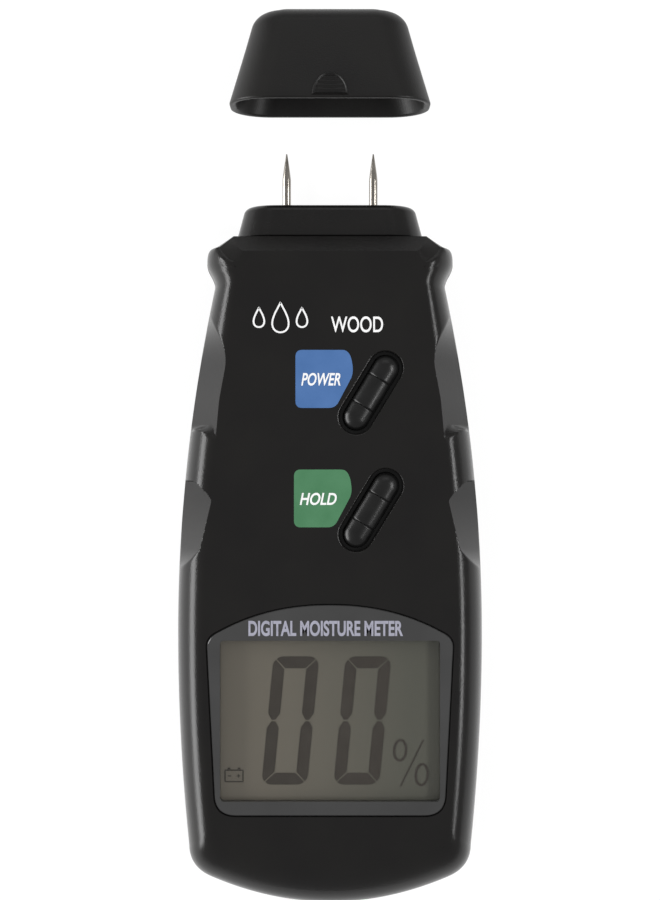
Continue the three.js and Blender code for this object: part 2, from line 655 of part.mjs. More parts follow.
// A screw seen from below: shank up, head down, with a cross slot in the head.
function screw([x, y], { radius, headRadius, headHeight }, seat, top) {
  const head = post(x, y, headRadius, seat - headHeight, seat);
  const shank = post(x, y, radius, seat - 0.1, top, 12);
  const reach = headRadius * 0.62;
  const slot = headRadius * 0.14;
  const floor = seat - headHeight * 0.45;
  const cross = join([
    box(x - reach, x + reach, y - slot, y + slot, seat - headHeight - 1, floor),
    box(x - slot, x + slot, y - reach, y + reach, seat - headHeight - 1, floor),
  ]);
  return join([head, shank]).subtract(cross);
}

// A component under the board, standing off it by the gap.
function chip([width, length, height], x, y) {
  const front = boardBack - GAP;
  return box(x - width / 2, x + width / 2, y - length / 2, y + length / 2, front - height, front);
}

const partsY = doorTop + 18; // middle of the parts on the board's underside

function trimmer() {
  const x = boardHalf / 2;
  const body = chip(TRIMMER, x, partsY + 16);
  const back = boardBack - GAP - TRIMMER[2];
  const rotor = post(x, partsY + 16, 2, back - 0.5, back + 0.5);
  const slot = box(x - 1.5, x + 1.5, partsY + 15.7, partsY + 16.3, back - 1, back - 0.1);
  return join([body, rotor]).subtract(slot);
}

function capacitor() {
  const front = boardBack - GAP;
  return post(boardHalf / 2 + 3, partsY, CAPACITOR.radius, front - CAPACITOR.height, front);
}

function crystal() {
  const z = boardBack - GAP - CRYSTAL.radius;
  const half = CRYSTAL.length / 2;
  return rod(-boardHalf / 2 - 2, z, CRYSTAL.radius, partsY - half, partsY + half, 12);
}

// ---------------------------------------------------------------- materials and assembly

const materialOf = (color, roughness, metalness = 0) => (
  new THREE.MeshStandardMaterial({ color, roughness, metalness }));

const casing = materialOf(0x242322, 0.55);
const capPlastic = materialOf(0x232221, 0.6);
const keyRubber = materialOf(0x161616, 0.45);
const siliconeMat = materialOf(0x3a3a3a, 0.7);
const carbon = materialOf(0x0c0c0c, 0.8);
const windowPlastic = materialOf(0x37373a, 0.12);
const displayGlass = materialOf(0x5f5b52, 0.25);
const holderPlastic = materialOf(0xd8d8d2, 0.6);
const zebraRubber = materialOf(0xb57a86, 0.7);
const boardGreen = materialOf(0x1d5a34, 0.5);
const chipBlack = materialOf(0x151515, 0.6);
const trimmerBlue = materialOf(0x2458b8, 0.5);
const canSteel = materialOf(0xc2c3c4, 0.3, 1);
const sleeveBlue = materialOf(0x20304e, 0.4);
const pinSteel = materialOf(0xb9b4ac, 0.22, 1);
const brass = materialOf(0xc9a24b, 0.3, 1);
const zincSteel = materialOf(0xb7b7b2, 0.35, 1);
const batteryJacket = materialOf(0x2c3440, 0.4);
const snapVinyl = materialOf(0x111111, 0.6);
const redLead = materialOf(0xb21f1a, 0.5);
const blackLead = materialOf(0x141414, 0.5);
const foamGrey = materialOf(0x4a4a4a, 0.95);

const meter = new THREE.Group();

function add(name, shape, material) {
  const mesh = new THREE.Mesh(shape.isBufferGeometry ? shape : geometryOf(shape), material);
  mesh.name = name;
  meter.add(mesh);
}

add('front_shell', frontShell(), casing);
add('rear_shell', rearShell(), casing);
add('battery_door', batteryDoor(), casing);
add('electrode_block', electrodeBlock(), casing);
add('cap', cap(), capPlastic);
add('display_window', prism(windowOutline(0), BODY_DEPTH - WINDOW_LENS.recess + GAP / 2,
  BODY_DEPTH - WINDOW_LENS.recess + GAP / 2 + WINDOW_LENS.thickness), windowPlastic);
add('lcd_panel', box(-glassHalf, glassHalf, glassBottom, glassTop, glassBack, glassFront), displayGlass);
add('lcd_holder', lcdHolder(), holderPlastic);
add('zebra_strip_bottom', zebraStrip(zebraCentres[0]), zebraRubber);
add('zebra_strip_top', zebraStrip(zebraCentres[1]), zebraRubber);

for (const [name, centre] of Object.entries(keyCentres)) {
  add(`${name}_key`, key(centre), keyRubber);
  const contactFront = contactBack + CONTACT.thickness;
  add(`${name}_contact`, post(...centre, CONTACT.radius, contactBack, contactFront), carbon);
}
add('keypad_web', keypadWeb(), siliconeMat);

add('circuit_board', circuitBoard(), boardGreen);
add('main_chip', chip(MAIN_CHIP, 0, partsY), chipBlack);
add('op_amp', chip(OP_AMP, -boardHalf / 2, partsY + 16), chipBlack);
add('trimmer', trimmer(), trimmerBlue);
add('capacitor', capacitor(), sleeveBlue);
add('crystal', crystal(), canSteel);

for (const [name, side] of [['left', -1], ['right', 1]]) {
  add(`pin_${name}`, probePin(side), pinSteel);
  add(`pin_socket_${name}`, pinSocket(side), brass);
  add(`electrode_lead_${name}`, electrodeLead(side), side < 0 ? blackLead : redLead);
}

add('battery', battery(), batteryJacket);
add('battery_snap', batterySnap(), snapVinyl);
add('battery_lead_black', batteryLead(-1), blackLead);
add('battery_lead_red', batteryLead(1), redLead);
add('battery_foam', batteryFoam(), foamGrey);

casePosts.forEach((place, i) => {
  add(`case_screw_${i + 1}`, screw(place, CASE_SCREW, CASE_SCREW.seat - GAP, CASE_SCREW.top), zincSteel);
});
boardPosts.forEach((place, i) => {
  const seat = boardBack - GAP;
  add(`board_screw_${i + 1}`, screw(place, BOARD_SCREW, seat, seat + BOARD_SCREW.length), zincSteel);
});

export default meter;
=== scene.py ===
"""Looks of a two-pin digital moisture meter that lies on its back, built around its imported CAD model.

X runs across the meter, +Y towards the probe pins and +Z out of the display face. Sizes are in millimetres
and turn to metres where a mesh is made.
"""

import math

import bpy
import numpy as np
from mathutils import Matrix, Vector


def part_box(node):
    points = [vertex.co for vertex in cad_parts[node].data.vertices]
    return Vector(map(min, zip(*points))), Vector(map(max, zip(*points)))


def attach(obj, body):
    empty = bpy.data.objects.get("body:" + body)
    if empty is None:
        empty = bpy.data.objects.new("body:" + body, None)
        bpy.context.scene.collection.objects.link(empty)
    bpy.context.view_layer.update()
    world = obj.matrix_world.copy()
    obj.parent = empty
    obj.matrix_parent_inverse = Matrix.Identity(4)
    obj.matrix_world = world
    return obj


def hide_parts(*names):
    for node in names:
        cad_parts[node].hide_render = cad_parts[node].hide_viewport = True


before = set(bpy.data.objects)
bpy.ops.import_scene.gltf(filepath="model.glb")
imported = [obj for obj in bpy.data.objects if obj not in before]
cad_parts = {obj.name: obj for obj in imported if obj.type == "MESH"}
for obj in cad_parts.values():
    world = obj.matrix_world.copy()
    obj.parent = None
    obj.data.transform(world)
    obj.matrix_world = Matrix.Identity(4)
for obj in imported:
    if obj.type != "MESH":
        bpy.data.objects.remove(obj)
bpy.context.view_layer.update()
scene = bpy.context.scene
MM = 0.001

# ---------------------------------------------------------------- studio
# A white table seen from straight above, with a large soft box low on the left, a weaker one on the right
# and a strip past the pins. A plain paper-white floor runs out on all sides.

EYE = (0.0, 24.9, 357.0)
LENS = 44.05  # focal length
SENSOR = 24.0  # sensor height
SOFT_BOXES = {
    "left_box": {"at": (-430, -20, 120), "size": (520, 190), "power": 3.4},
    "right_box": {"at": (420, 0, 400), "size": (420, 110), "power": 2.0},
    "pin_strip": {"at": (0, 620, 470), "size": (620, 240), "power": 0.5},
}

lens = bpy.data.cameras.new("camera")
lens.sensor_fit = "VERTICAL"
lens.sensor_height = SENSOR
lens.lens = LENS
lens.clip_start = 0.01
lens.clip_end = 20
camera = bpy.data.objects.new("camera", lens)
camera.location = [v * MM for v in EYE]
scene.collection.objects.link(camera)
scene.camera = camera

for name, box in SOFT_BOXES.items():
    lamp = bpy.data.lights.new(name, "AREA")
    lamp.shape = "RECTANGLE"
    lamp.size, lamp.size_y = (v * MM for v in box["size"])
    lamp.energy = box["power"]
    holder = bpy.data.objects.new(name, lamp)
    holder.location = [v * MM for v in box["at"]]
    aim = -holder.location.copy()
    holder.rotation_euler = aim.to_track_quat("-Z", "Y").to_euler()
    scene.collection.objects.link(holder)

world = bpy.data.worlds.new("studio")
world.use_nodes = True
world.node_tree.nodes["Background"].inputs["Color"].default_value = (1, 1, 1, 1)
world.node_tree.nodes["Background"].inputs["Strength"].default_value = 0.5
scene.world = world
scene.view_settings.view_transform = "Standard"


def linear(code):
    """sRGB hex colour to linear red, green, blue, alpha."""
    values = [int(code[i : i + 2], 16) / 255 for i in (1, 3, 5)]
    return [v / 12.92 if v <= 0.04045 else ((v + 0.055) / 1.055) ** 2.4 for v in values] + [1.0]


def node(tree, kind, inputs=None, **settings):
    """Adds one shader node. inputs gives each input, by name, a value or the output that feeds it."""
    added = tree.nodes.new(kind)
    for key, value in settings.items():
        setattr(added, key, value)
    for key, value in (inputs or {}).items():
        if isinstance(value, bpy.types.NodeSocket):
            tree.links.new(value, added.inputs[key])
        else:
            added.inputs[key].default_value = value
    return added


def finish(name, tones, patch, roughness, gloss=(), grain=0.0, relief=0.0, run=None):
    """A material that mixes two tones in soft patches of that size in mm, or from left to right where run
    gives its two ends. Its roughness swings between two values at the patches' scale, and a fine surface grain
    of that size in mm stands up by relief mm. gloss sets the shader's own sockets."""
    made = bpy.data.materials.new(name)
    made.use_nodes = True
    tree = made.node_tree
    shader = tree.nodes["Principled BSDF"]
    place = node(tree, "ShaderNodeTexCoord").outputs["Object"]
    cloud = node(
        tree, "ShaderNodeTexNoise", {"Vector": place, "Scale": 1 / (patch * MM), "Detail": 3.0},
    )
    spread = cloud.outputs["Fac"]
    if run:
        across = node(tree, "ShaderNodeSeparateXYZ", {"Vector": place}).outputs["X"]
        ends = {"Value": across, "From Min": run[0] * MM, "From Max": run[1] * MM}
        spread = node(tree, "ShaderNodeMapRange", ends).outputs["Result"]
    tone = node(tree, "ShaderNodeValToRGB", {"Fac": spread})
    for stop, code, at in zip(tone.color_ramp.elements, tones, (0.3, 0.7)):
        stop.color = linear(code)
        stop.position = at
    tree.links.new(tone.outputs["Color"], shader.inputs["Base Color"])
    limits = {"From Min": 0.3, "From Max": 0.7, "To Min": roughness[0], "To Max": roughness[1]}
    swing = node(tree, "ShaderNodeMapRange", {"Value": cloud.outputs["Fac"], **limits})
    tree.links.new(swing.outputs["Result"], shader.inputs["Roughness"])
    if grain:
        pits = node(tree, "ShaderNodeTexNoise", {"Vector": place, "Scale": 1 / (grain * MM), "Detail": 2.0})
        height = {"Height": pits.outputs["Fac"], "Strength": 1.0, "Distance": relief * MM}
        bump = node(tree, "ShaderNodeBump", height)
        tree.links.new(bump.outputs["Normal"], shader.inputs["Normal"])
    for socket, value in dict(gloss).items():
        shader.inputs[socket].default_value = value
    return made


# Opal acrylic light table: even, with a hardly visible mottle and a soft light of its own.
opal_table = finish(
    "opal_acrylic_light_table", ("#6a6a6a", "#707070"), 60, (0.7, 0.8),
    {"Emission Color": (1, 1, 1, 1), "Emission Strength": 0.86},
)


def skin(name, rings, closed=False):
    """Closed surface through rings of points (ring, point, xyz) in mm. Each ring is joined to the next by
    four-sided faces, and the end rings are filled in, or joined to each other where closed is true."""
    rings = np.asarray(rings, float)
    count, around = rings.shape[:2]
    here = np.arange(around)
    onward = np.roll(here, -1)
    start = np.arange(count if closed else count - 1)[:, None] * around
    above = (start + around) % (count * around)
    faces = np.stack([start + here, start + onward, above + onward, above + here], -1).reshape(-1, 4).tolist()
    if not closed:
        faces += [here[::-1].tolist(), (here + (count - 1) * around).tolist()]
    mesh = bpy.data.meshes.new(name)
    mesh.from_pydata(rings.reshape(-1, 3) * MM, [], faces)
    mesh.shade_smooth()
    mesh.set_sharp_from_angle(angle=math.radians(35))
    piece = bpy.data.objects.new(name, mesh)
    scene.collection.objects.link(piece)
    return piece


def slab(name, outline, z0, z1):
    """Flat plate with that outline between two heights."""
    outline = np.asarray(outline, float)
    return skin(name, [np.column_stack([outline, np.full(len(outline), z)]) for z in (z0, z1)])


FLOOR_HALF = 2000
FLOOR_DEPTH, FLOOR_GAP = 3.0, 0.05  # thickness of the table, and its gap under the meter
square = FLOOR_HALF * np.array([[-1, -1], [1, -1], [1, 1], [-1, 1]])
floor = slab("floor", square, -FLOOR_DEPTH, -FLOOR_GAP)
floor.data.materials.append(opal_table)

# ---------------------------------------------------------------- front casing
# The upper half shell: black ABS, injection moulded, with the light spark texture of its mould. Four
# scooped flats on its long edges give the fingers a hold. It is screwed to the rear half from behind.


def box_mm(name):
    """Lowest and highest corner of a CAD node in mm."""
    return np.array(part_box(name)) / MM


REAR = box_mm("rear_shell")
BOTTOM = REAR[0][1]
HALF_WIDTH, LEDGE, JOINT = REAR[1]
FACE = box_mm("front_shell")[1][2]
SEAM = box_mm("front_shell")[0][2]
BLOCK = box_mm("electrode_block")
PARTING = BLOCK[:, 2].mean()  # height of the pins
GAP = 0.3  # clearance between pieces
WIDEST_FROM_BOTTOM = 55.6
HEEL_DROP, HEEL_RISE = 2.3, 11.9  # where the lower side meets the corner
CORNER_RUN, END_SAG = 4.6, 5.3  # width of the corner, and how far the bottom arc sags
NECK_HALF, NECK_FROM_LEDGE = 23.85, 10.4
SHOULDER_HALF, SHOULDER_FROM_LEDGE = 25.4, 4.7
SLANT, LEDGE_RUN = (1.2, 2.2), 3.7  # the two cut corners beside the ledge
SIDE_ROUND = (6.0, 10.0)  # rounding of the long edges, across and down
END_ROUND = 13.4  # rounding of the bottom end, along
BEVEL = (3.3, 3.0)  # slope at the ledge, along and down
FACE_END_SAG, FACE_HEEL_RISE, FACE_CORNER_RUN, FACE_LEDGE_RUN = 1.0, 4.5, 3.5, 0.8  # the same at the face
DRAFT = 0.2  # lean of the side walls
WIDEST = BOTTOM + WIDEST_FROM_BOTTOM
NECK = LEDGE - NECK_FROM_LEDGE
SHOULDER = LEDGE - SHOULDER_FROM_LEDGE


def side_at(y):
    """Half width of the casing at the joint line: widest at one station, falling off with the square of the
    distance from it."""
    below = HEEL_DROP * ((WIDEST - y) / (WIDEST_FROM_BOTTOM - HEEL_RISE)) ** 2
    above = (HALF_WIDTH - NECK_HALF) * ((y - WIDEST) / (NECK - WIDEST)) ** 2
    return HALF_WIDTH - np.where(y < WIDEST, below, above)


def bezier(count, *controls):
    """Points along one Bezier curve for each level, without the last. A control is a pair x, y, and each of
    the two is one value or one for each level."""
    t = np.linspace(0, 1, count, endpoint=False)[None, :, None]
    order = len(controls) - 1
    weights = [math.comb(order, i) * t**i * (1 - t) ** (order - i) for i in range(order + 1)]
    return sum(w * np.stack(np.broadcast_arrays(*c), -1)[:, None, :] for w, c in zip(weights, controls))


def casing_rings(z, side, end, ledge, turn, inset=0.0, fine=4):
    """Plan outlines of the casing, one for each height z. side, end and ledge say how far the outline is
    drawn in there, and turn how far the edge rounding has turned to the face. Half an outline is bottom arc,
    corner, lower side, upper side, neck, shoulder, slant and ledge, and the other half mirrors it."""
    z, side, end, ledge, turn = np.broadcast_arrays(*map(np.atleast_1d, (z, side, end, ledge, turn)))
    drawn = side + inset
    bottom = BOTTOM + end + inset
    top = LEDGE - ledge - inset
    sag = END_SAG + (FACE_END_SAG - END_SAG) * turn
    heel = bottom + HEEL_RISE + (FACE_HEEL_RISE - HEEL_RISE) * turn
    heel_x = side_at(heel) - drawn
    corner_x = heel_x - CORNER_RUN - (FACE_CORNER_RUN - CORNER_RUN) * turn
    corner_rise = 2 * sag / corner_x * (heel_x - corner_x)
    wide = HALF_WIDTH - drawn
    neck_x = NECK_HALF - drawn
    lean = 2 * (HALF_WIDTH - NECK_HALF) / (NECK - WIDEST)
    shoulder_x = SHOULDER_HALF - drawn
    reach = SHOULDER_FROM_LEDGE / 2
    neck_y = np.minimum(NECK, top - NECK_FROM_LEDGE + BEVEL[0])
    shoulder_y = np.minimum(SHOULDER, top - SLANT[1] - 0.4)
    slant_x = shoulder_x - SLANT[0]
    slant_y = top - SLANT[1]
    ledge_x = slant_x - LEDGE_RUN - (FACE_LEDGE_RUN - LEDGE_RUN) * turn
    nil = np.zeros_like(top)
    half = np.concatenate([
        bezier(6 * fine, (nil, bottom), (corner_x / 2, bottom), (corner_x, bottom + sag)),
        bezier(5 * fine, (corner_x, bottom + sag), (heel_x, bottom + sag + corner_rise),
               (heel_x, heel)),
        bezier(28 * fine, (heel_x, heel), (wide, (heel + WIDEST) / 2), (wide, nil + WIDEST)),
        bezier(50 * fine, (wide, nil + WIDEST), (wide, (WIDEST + NECK) / 2 + nil),
               (neck_x, neck_y)),
        bezier(9 * fine, (neck_x, neck_y), (neck_x - lean * reach, neck_y + reach),
               (shoulder_x, shoulder_y - reach), (shoulder_x, shoulder_y)),
        bezier(4 * fine, (shoulder_x, shoulder_y), (shoulder_x, slant_y + 0.2), (slant_x, slant_y)),
        bezier(3 * fine, (slant_x, slant_y), (ledge_x, top)),
        bezier(5 * fine, (ledge_x, top), (nil, top)),
        np.stack([nil, top], -1)[:, None, :],
    ], axis=1)
    whole = np.concatenate([half, half[:, -2:0:-1] * [-1, 1]], axis=1)
    return np.concatenate([whole, np.broadcast_to(z[:, None, None], whole.shape[:2] + (1,))], axis=2)


def front_levels(steps):
    """Heights from the joint line to the face and how far the outline is drawn in at each: a quarter ellipse
    at the sides and the end, and a straight bevel at the ledge."""
    angle = np.sort(np.append(np.linspace(0, math.pi / 2, steps), math.asin(1 - BEVEL[1] / SIDE_ROUND[1])))
    draw = 1 - np.cos(angle)
    z = FACE - SIDE_ROUND[1] * (1 - np.sin(angle))
    bevel = BEVEL[0] * np.maximum(0, (z - FACE + BEVEL[1]) / BEVEL[1])
    rows = np.array([z, DRAFT + SIDE_ROUND[0] * draw, DRAFT + END_ROUND * draw, bevel, draw])
    return np.column_stack([[SEAM, 0, 0, 0, 0], rows])


def ease(t):
    """Smooth step from 0 to 1."""
    t = np.clip(t, 0, 1)
    return t * t * (3 - 2 * t)


FLAT_HEIGHT = 9.4  # how far down the edge a grip flat reaches
UPPER_FLAT = {"start": 24.9, "end": 58.0, "slant": 3.1, "run_in": 2.0, "run_out": 17.0}
UPPER_AT, UPPER_DEPTH = [26, 35, 49, 55], [6.2, 5.8, 6.2, 6.4]  # places along the flat, and its depth there
LOWER_FLAT = {"end": 15.6, "bow": 3.2, "step": 0.45}
LOWER_AT, LOWER_DEPTH = [0.5, 2.5, 4.9, 15.6], [1.6, 3.4, 5.0, 6.7]
BOW_DROP = 0.35  # share of a flat's height over which its end curves
ROUND_AT = [30, 49, 57.6, 60.6, 61.6]  # places along the side, and the share of the rounding's width there
ROUND_SHARE = [1, 0.92, 0.82, 0.86, 1]
SCOOP_MIN_X, SCOOP_FROM_BOTTOM = 12, 25  # the flats stay outside this half width and above this height
SIDE_FROM_BOTTOM, SIDE_FROM_LEDGE = 20, 2.3  # stretch of outline that the side is read from


def scoop(rings, draw):
    """Cuts the grip flats into the rounded long edges. The rounding, drawn in by that much at each level, is
    narrower at the neck and steps back to its full width in a crease under the shoulder."""
    x, y, z = (rings[..., i] for i in range(3))
    right = rings[0, : rings.shape[1] // 2]
    side = right[(right[:, 1] > BOTTOM + SIDE_FROM_BOTTOM) & (right[:, 1] < LEDGE - SIDE_FROM_LEDGE)]
    edge = np.interp(y, side[:, 1], side[:, 0])
    drop = np.clip((FACE - z) / FLAT_HEIGHT, 0, 1)
    upper = np.interp(y, UPPER_AT, UPPER_DEPTH)
    bow = np.sqrt(1 - (1 - np.minimum(drop / BOW_DROP, 1)) ** 2)
    foot = UPPER_FLAT["start"] + UPPER_FLAT["slant"] * bow
    upper = upper * ease((y - foot) / UPPER_FLAT["run_in"])
    upper = upper * ease((UPPER_FLAT["end"] - y) / UPPER_FLAT["run_out"])
    lower = np.interp(y, LOWER_AT, LOWER_DEPTH)
    top = LOWER_FLAT["end"] + LOWER_FLAT["bow"] * bow
    lower = lower * ease((top - y) / LOWER_FLAT["step"])
    cut = np.maximum(upper, lower) * (1 - drop)
    rounded = edge - draw[:, None] * np.interp(y, ROUND_AT, ROUND_SHARE)
    on_side = (np.abs(x) > SCOOP_MIN_X) & (y > BOTTOM + SCOOP_FROM_BOTTOM) & (y < ROUND_AT[-1])
    out = rings.copy()
    out[..., 0] = np.where(on_side, np.sign(x) * np.minimum(rounded, edge - cut), x)
    return out


def along_y(rings):
    """Turns rings stacked along Z so that they stack along Y, centred on the pins' height."""
    x, y, z = (np.asarray(rings, float)[..., i] for i in range(3))
    return np.stack([x, z, PARTING - y], -1)


def rounded_box(width, depth, radius, height, count=10):
    """Rings of rounded rectangles, one for each height: four quarter circles joined by straight sides."""
    width, depth, radius, height = np.broadcast_arrays(*map(np.atleast_1d, (width, depth, radius, height)))
    radius = np.minimum(radius, 0.48 * np.minimum(width, depth))
    angle = (np.arange(4)[:, None] + np.linspace(0, 1, count)) * math.pi / 2
    sx = np.repeat([1, -1, -1, 1], count)
    sy = np.repeat([1, 1, -1, -1], count)
    r = radius[:, None]
    x = sx * (width[:, None] / 2 - r) + r * np.cos(angle.ravel())
    y = sy * (depth[:, None] / 2 - r) + r * np.sin(angle.ravel())
    return np.stack([x, y, np.broadcast_to(height[:, None], x.shape)], -1)


def disc(x, y, radius, z0, z1, count=32):
    """Rings of a round post."""
    angle = np.linspace(0, 2 * math.pi, count, endpoint=False)
    ring = np.stack([x + radius * np.cos(angle), y + radius * np.sin(angle), np.zeros(count)], -1)
    return np.stack([ring + [0, 0, z0], ring + [0, 0, z1]])


def block(x0, x1, y0, y1, z0, z1):
    """Rings of a plain block."""
    ring = np.array([[x0, y0], [x1, y0], [x1, y1], [x0, y1]], float)
    return np.stack([np.column_stack([ring, np.full(4, z)]) for z in (z0, z1)])


def shape(piece, operation, *parts):
    """Adds parts to a piece or cuts them out of it. Each part is its rings, and the parts don't touch."""
    meshes = [skin("part", rings) for rings in parts]
    with bpy.context.temp_override(active_object=meshes[0], selected_editable_objects=meshes):
        bpy.ops.object.join()
    step = piece.modifiers.new("shape", "BOOLEAN")
    step.operation = operation
    step.solver = "EXACT"
    step.object = meshes[0]
    bpy.context.view_layer.update()
    done = bpy.data.meshes.new_from_object(piece.evaluated_get(bpy.context.evaluated_depsgraph_get()))
    piece.modifiers.clear()
    piece.data = done
    bpy.data.objects.remove(meshes[0])
    return piece


def smooth(piece, angle):
    """Smooth shading with crisp edges above that angle in degrees, and flat faces kept flat."""
    piece.data.shade_smooth()
    piece.data.set_sharp_from_angle(angle=math.radians(angle))
    weigh = piece.modifiers.new("flat_faces", "WEIGHTED_NORMAL")
    weigh.keep_sharp = True
    return piece


def wear(piece, material, body, slot, *nodes):
    """Gives a piece its material and body, and hides the CAD nodes that it stands for. slot is not used."""
    piece.data.materials.clear()
    piece.data.materials.append(material)
    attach(piece, body)
    if nodes:
        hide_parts(*nodes)
    return piece


# Black ABS from a spark-eroded mould: nearly black and half matt, with a fine grain that breaks up the
# highlights along the rounded edges. The grain is drawn at 0.3 mm, a little coarse, so that it shows.
black_abs = finish(
    "moulded_black_abs", ("#131212", "#161514"), 12, (0.2, 0.25),
    {"IOR": 1.5, "Specular IOR Level": 0.24}, grain=0.3, relief=0.03,
)

WALL, FACE_WALL = 2.6, 2.0
KEY_CENTRES = {key: box_mm(f"{key}_key")[:, :2].mean(0) for key in ("power", "hold")}
KEY_RADIUS, KEY_SPAN, KEY_TILT = 2.75, 11.4, math.radians(31.2)
HOLE_CLEARANCE, HOLE_RIM, HOLE_DEPTH = 0.65, 0.5, 8.0


def pill(centre, radius, z, straight=40, turn=20):
    """Ring of a pill outline about a key's centre, its long axis tilted."""
    arc = np.linspace(0, math.pi, turn)
    run = np.linspace(1, -1, straight + 2)[1:-1] * KEY_SPAN / 2
    end = np.stack([radius * np.cos(arc), KEY_SPAN / 2 + radius * np.sin(arc)], -1)
    side = np.stack([np.full(straight, -radius), run], -1)
    ring = np.concatenate([end, side, -end, -side])
    cosine, sine = math.cos(-KEY_TILT), math.sin(-KEY_TILT)
    ring = ring @ np.array([[cosine, sine], [-sine, cosine]]) + centre
    return np.column_stack([ring, np.full(len(ring), z)])


def key_hole(centre):
    """Cutter for a key hole whose rim is rounded over by a quarter circle."""
    angle = np.linspace(0, math.pi / 2, 8)
    radii = KEY_RADIUS + HOLE_CLEARANCE + HOLE_RIM * (1 - np.cos(angle))
    heights = FACE - HOLE_RIM * (1 - np.sin(angle))
    radii = [radii[0], *radii, radii[-1] + 0.02]
    heights = [FACE - HOLE_DEPTH, *heights, FACE + 1]
    return np.stack([pill(centre, r, z) for r, z in zip(radii, heights)])


WINDOW_LOW, WINDOW_HIGH = box_mm("display_window")
LCD_LOW, LCD_HIGH = box_mm("lcd_panel")
VIEW_BORDER, VIEW_CORNER = 1.2, 0.8  # rim of the glass behind the casing, and the opening's corners
VIEW_HALF = LCD_HIGH[0] - VIEW_BORDER
VIEW_MIDDLE = (LCD_LOW[1] + LCD_HIGH[1]) / 2
VIEW_HEIGHT = LCD_HIGH[1] - LCD_LOW[1] - 2 * VIEW_BORDER
ARCH_RISE, WINDOW_TAPER, WINDOW_CORNER = 6.5, 1.6, 4.2
ARCH_CORNER = (2.4, 2.0, 1.1)  # how far the upper corner reaches in, down and up from the arch's foot


def window_rings(clearance, heights, spread=(0,)):
    """Rings of the window outline: an arched top, sides that lean in towards the bottom, round corners."""
    grow = clearance + np.broadcast_to(spread, (len(heights),))
    nil = np.zeros(len(heights))
    bottom, top = WINDOW_LOW[1] - grow, WINDOW_HIGH[1] + grow
    wide = WINDOW_HIGH[0] + grow
    narrow = wide - WINDOW_TAPER
    reach = WINDOW_CORNER + grow
    arch_foot = top - ARCH_RISE
    over, under, rise = ARCH_CORNER
    half = np.concatenate([
        bezier(6, (nil, bottom), (narrow - reach, bottom)),
        bezier(10, (narrow - reach, bottom), (narrow, bottom), (narrow + 0.1, bottom + reach)),
        bezier(8, (narrow + 0.1, bottom + reach), (wide, arch_foot - under)),
        bezier(10, (wide, arch_foot - under), (wide, arch_foot), (wide - over, arch_foot + rise)),
        bezier(24, (wide - over, arch_foot + rise), (wide / 2, top + 0.1), (nil, top)),
        np.stack([nil, top], -1)[:, None, :],
    ], axis=1)
    whole = np.concatenate([half, half[:, -2:0:-1] * [-1, 1]], axis=1)
    z = np.broadcast_to(np.asarray(heights, float)[:, None, None], whole.shape[:2] + (1,))
    return np.concatenate([whole, z], axis=2)


SCREWS = [box_mm(f"case_screw_{i}") for i in (1, 2, 3, 4)]
BOARD_SCREWS = [box_mm(f"board_screw_{i}") for i in (1, 2, 3, 4)]
BOARD = box_mm("circuit_board")
CASE_POST, CASE_PILOT = 3.4, 1.6  # radii
BOARD_POST, BOARD_PILOT = 2.2, 1.1
POST_ROOM = 1.8  # the posts end this far below the face
LIP = 0.3  # how far a half's flat face is drawn in to fill it
BLOCK_NECK_HALF, BLOCK_NECK_DEPTH, NECK_ROOM = 13.6, 12.0, 5.2

levels = front_levels(34)
outer = scoop(casing_rings(*levels), levels[1])
lip = casing_rings(*levels[:, -1:], inset=LIP)
shell = skin("front_casing", np.concatenate([outer, lip]))
cavity = casing_rings(*front_levels(10), inset=WALL)
cavity[..., 2] = PARTING + (cavity[..., 2] - PARTING) * (FACE - FACE_WALL - PARTING) / (FACE - PARTING)
cavity[0, :, 2] = PARTING - 1
shape(shell, "DIFFERENCE", cavity)
posts = [disc(*s[:, :2].mean(0), CASE_POST, SEAM, FACE - POST_ROOM) for s in SCREWS]
posts += [
    disc(*s[:, :2].mean(0), BOARD_POST, BOARD[1][2] + GAP, FACE - POST_ROOM) for s in BOARD_SCREWS
]
shape(shell, "UNION", *posts)
pilots = [disc(*s[:, :2].mean(0), CASE_PILOT, SEAM - 1, s[1][2] + GAP) for s in SCREWS]
pilots += [disc(*s[:, :2].mean(0), BOARD_PILOT, BOARD[0][2], s[1][2] + GAP) for s in BOARD_SCREWS]
neck_room = block(
    -BLOCK_NECK_HALF - GAP, BLOCK_NECK_HALF + GAP, LEDGE - NECK_ROOM, LEDGE + 1,
    PARTING - BLOCK_NECK_DEPTH / 2 - GAP, PARTING + BLOCK_NECK_DEPTH / 2 + GAP,
)
view = rounded_box(2 * VIEW_HALF, VIEW_HEIGHT, VIEW_CORNER, [FACE - 6, FACE - 1])
view[..., 1] += VIEW_MIDDLE
key_holes = [key_hole(centre) for centre in KEY_CENTRES.values()]
shape(shell, "DIFFERENCE", *key_holes, neck_room, view, *pilots)
seat = window_rings(0.15, [FACE - 1.3, FACE - 0.25, FACE - 0.07, FACE + 0.6], [0, 0, 0.1, 0.35])
shape(shell, "DIFFERENCE", seat)
wear(smooth(shell, 26), black_abs, "meter", "casing", "front_shell")

# ---------------------------------------------------------------- rear casing and battery door
# The lower half shell in the same black ABS, with wells for the four case screws and a battery bay. The
# door is a dovetailed strip that slides out through the bottom end; its ribs give the thumb a hold.

BACK_ROUND, BACK_WALL = 4.0, 2.0
SCREW_SEAT, SCREW_HEAD = 8.0, 2.8  # height of the seat, and radius of the well above it
DOOR = box_mm("battery_door")
DOOR_THICKNESS, DOVETAIL = 1.5, 1.0
DOOR_HALF = DOOR[1][0] - DOVETAIL
BATTERY = box_mm("battery")
FOAM = box_mm("battery_foam")
PEN_WALL, PEN_HEIGHT = 1.2, 12  # rib along each side of the battery


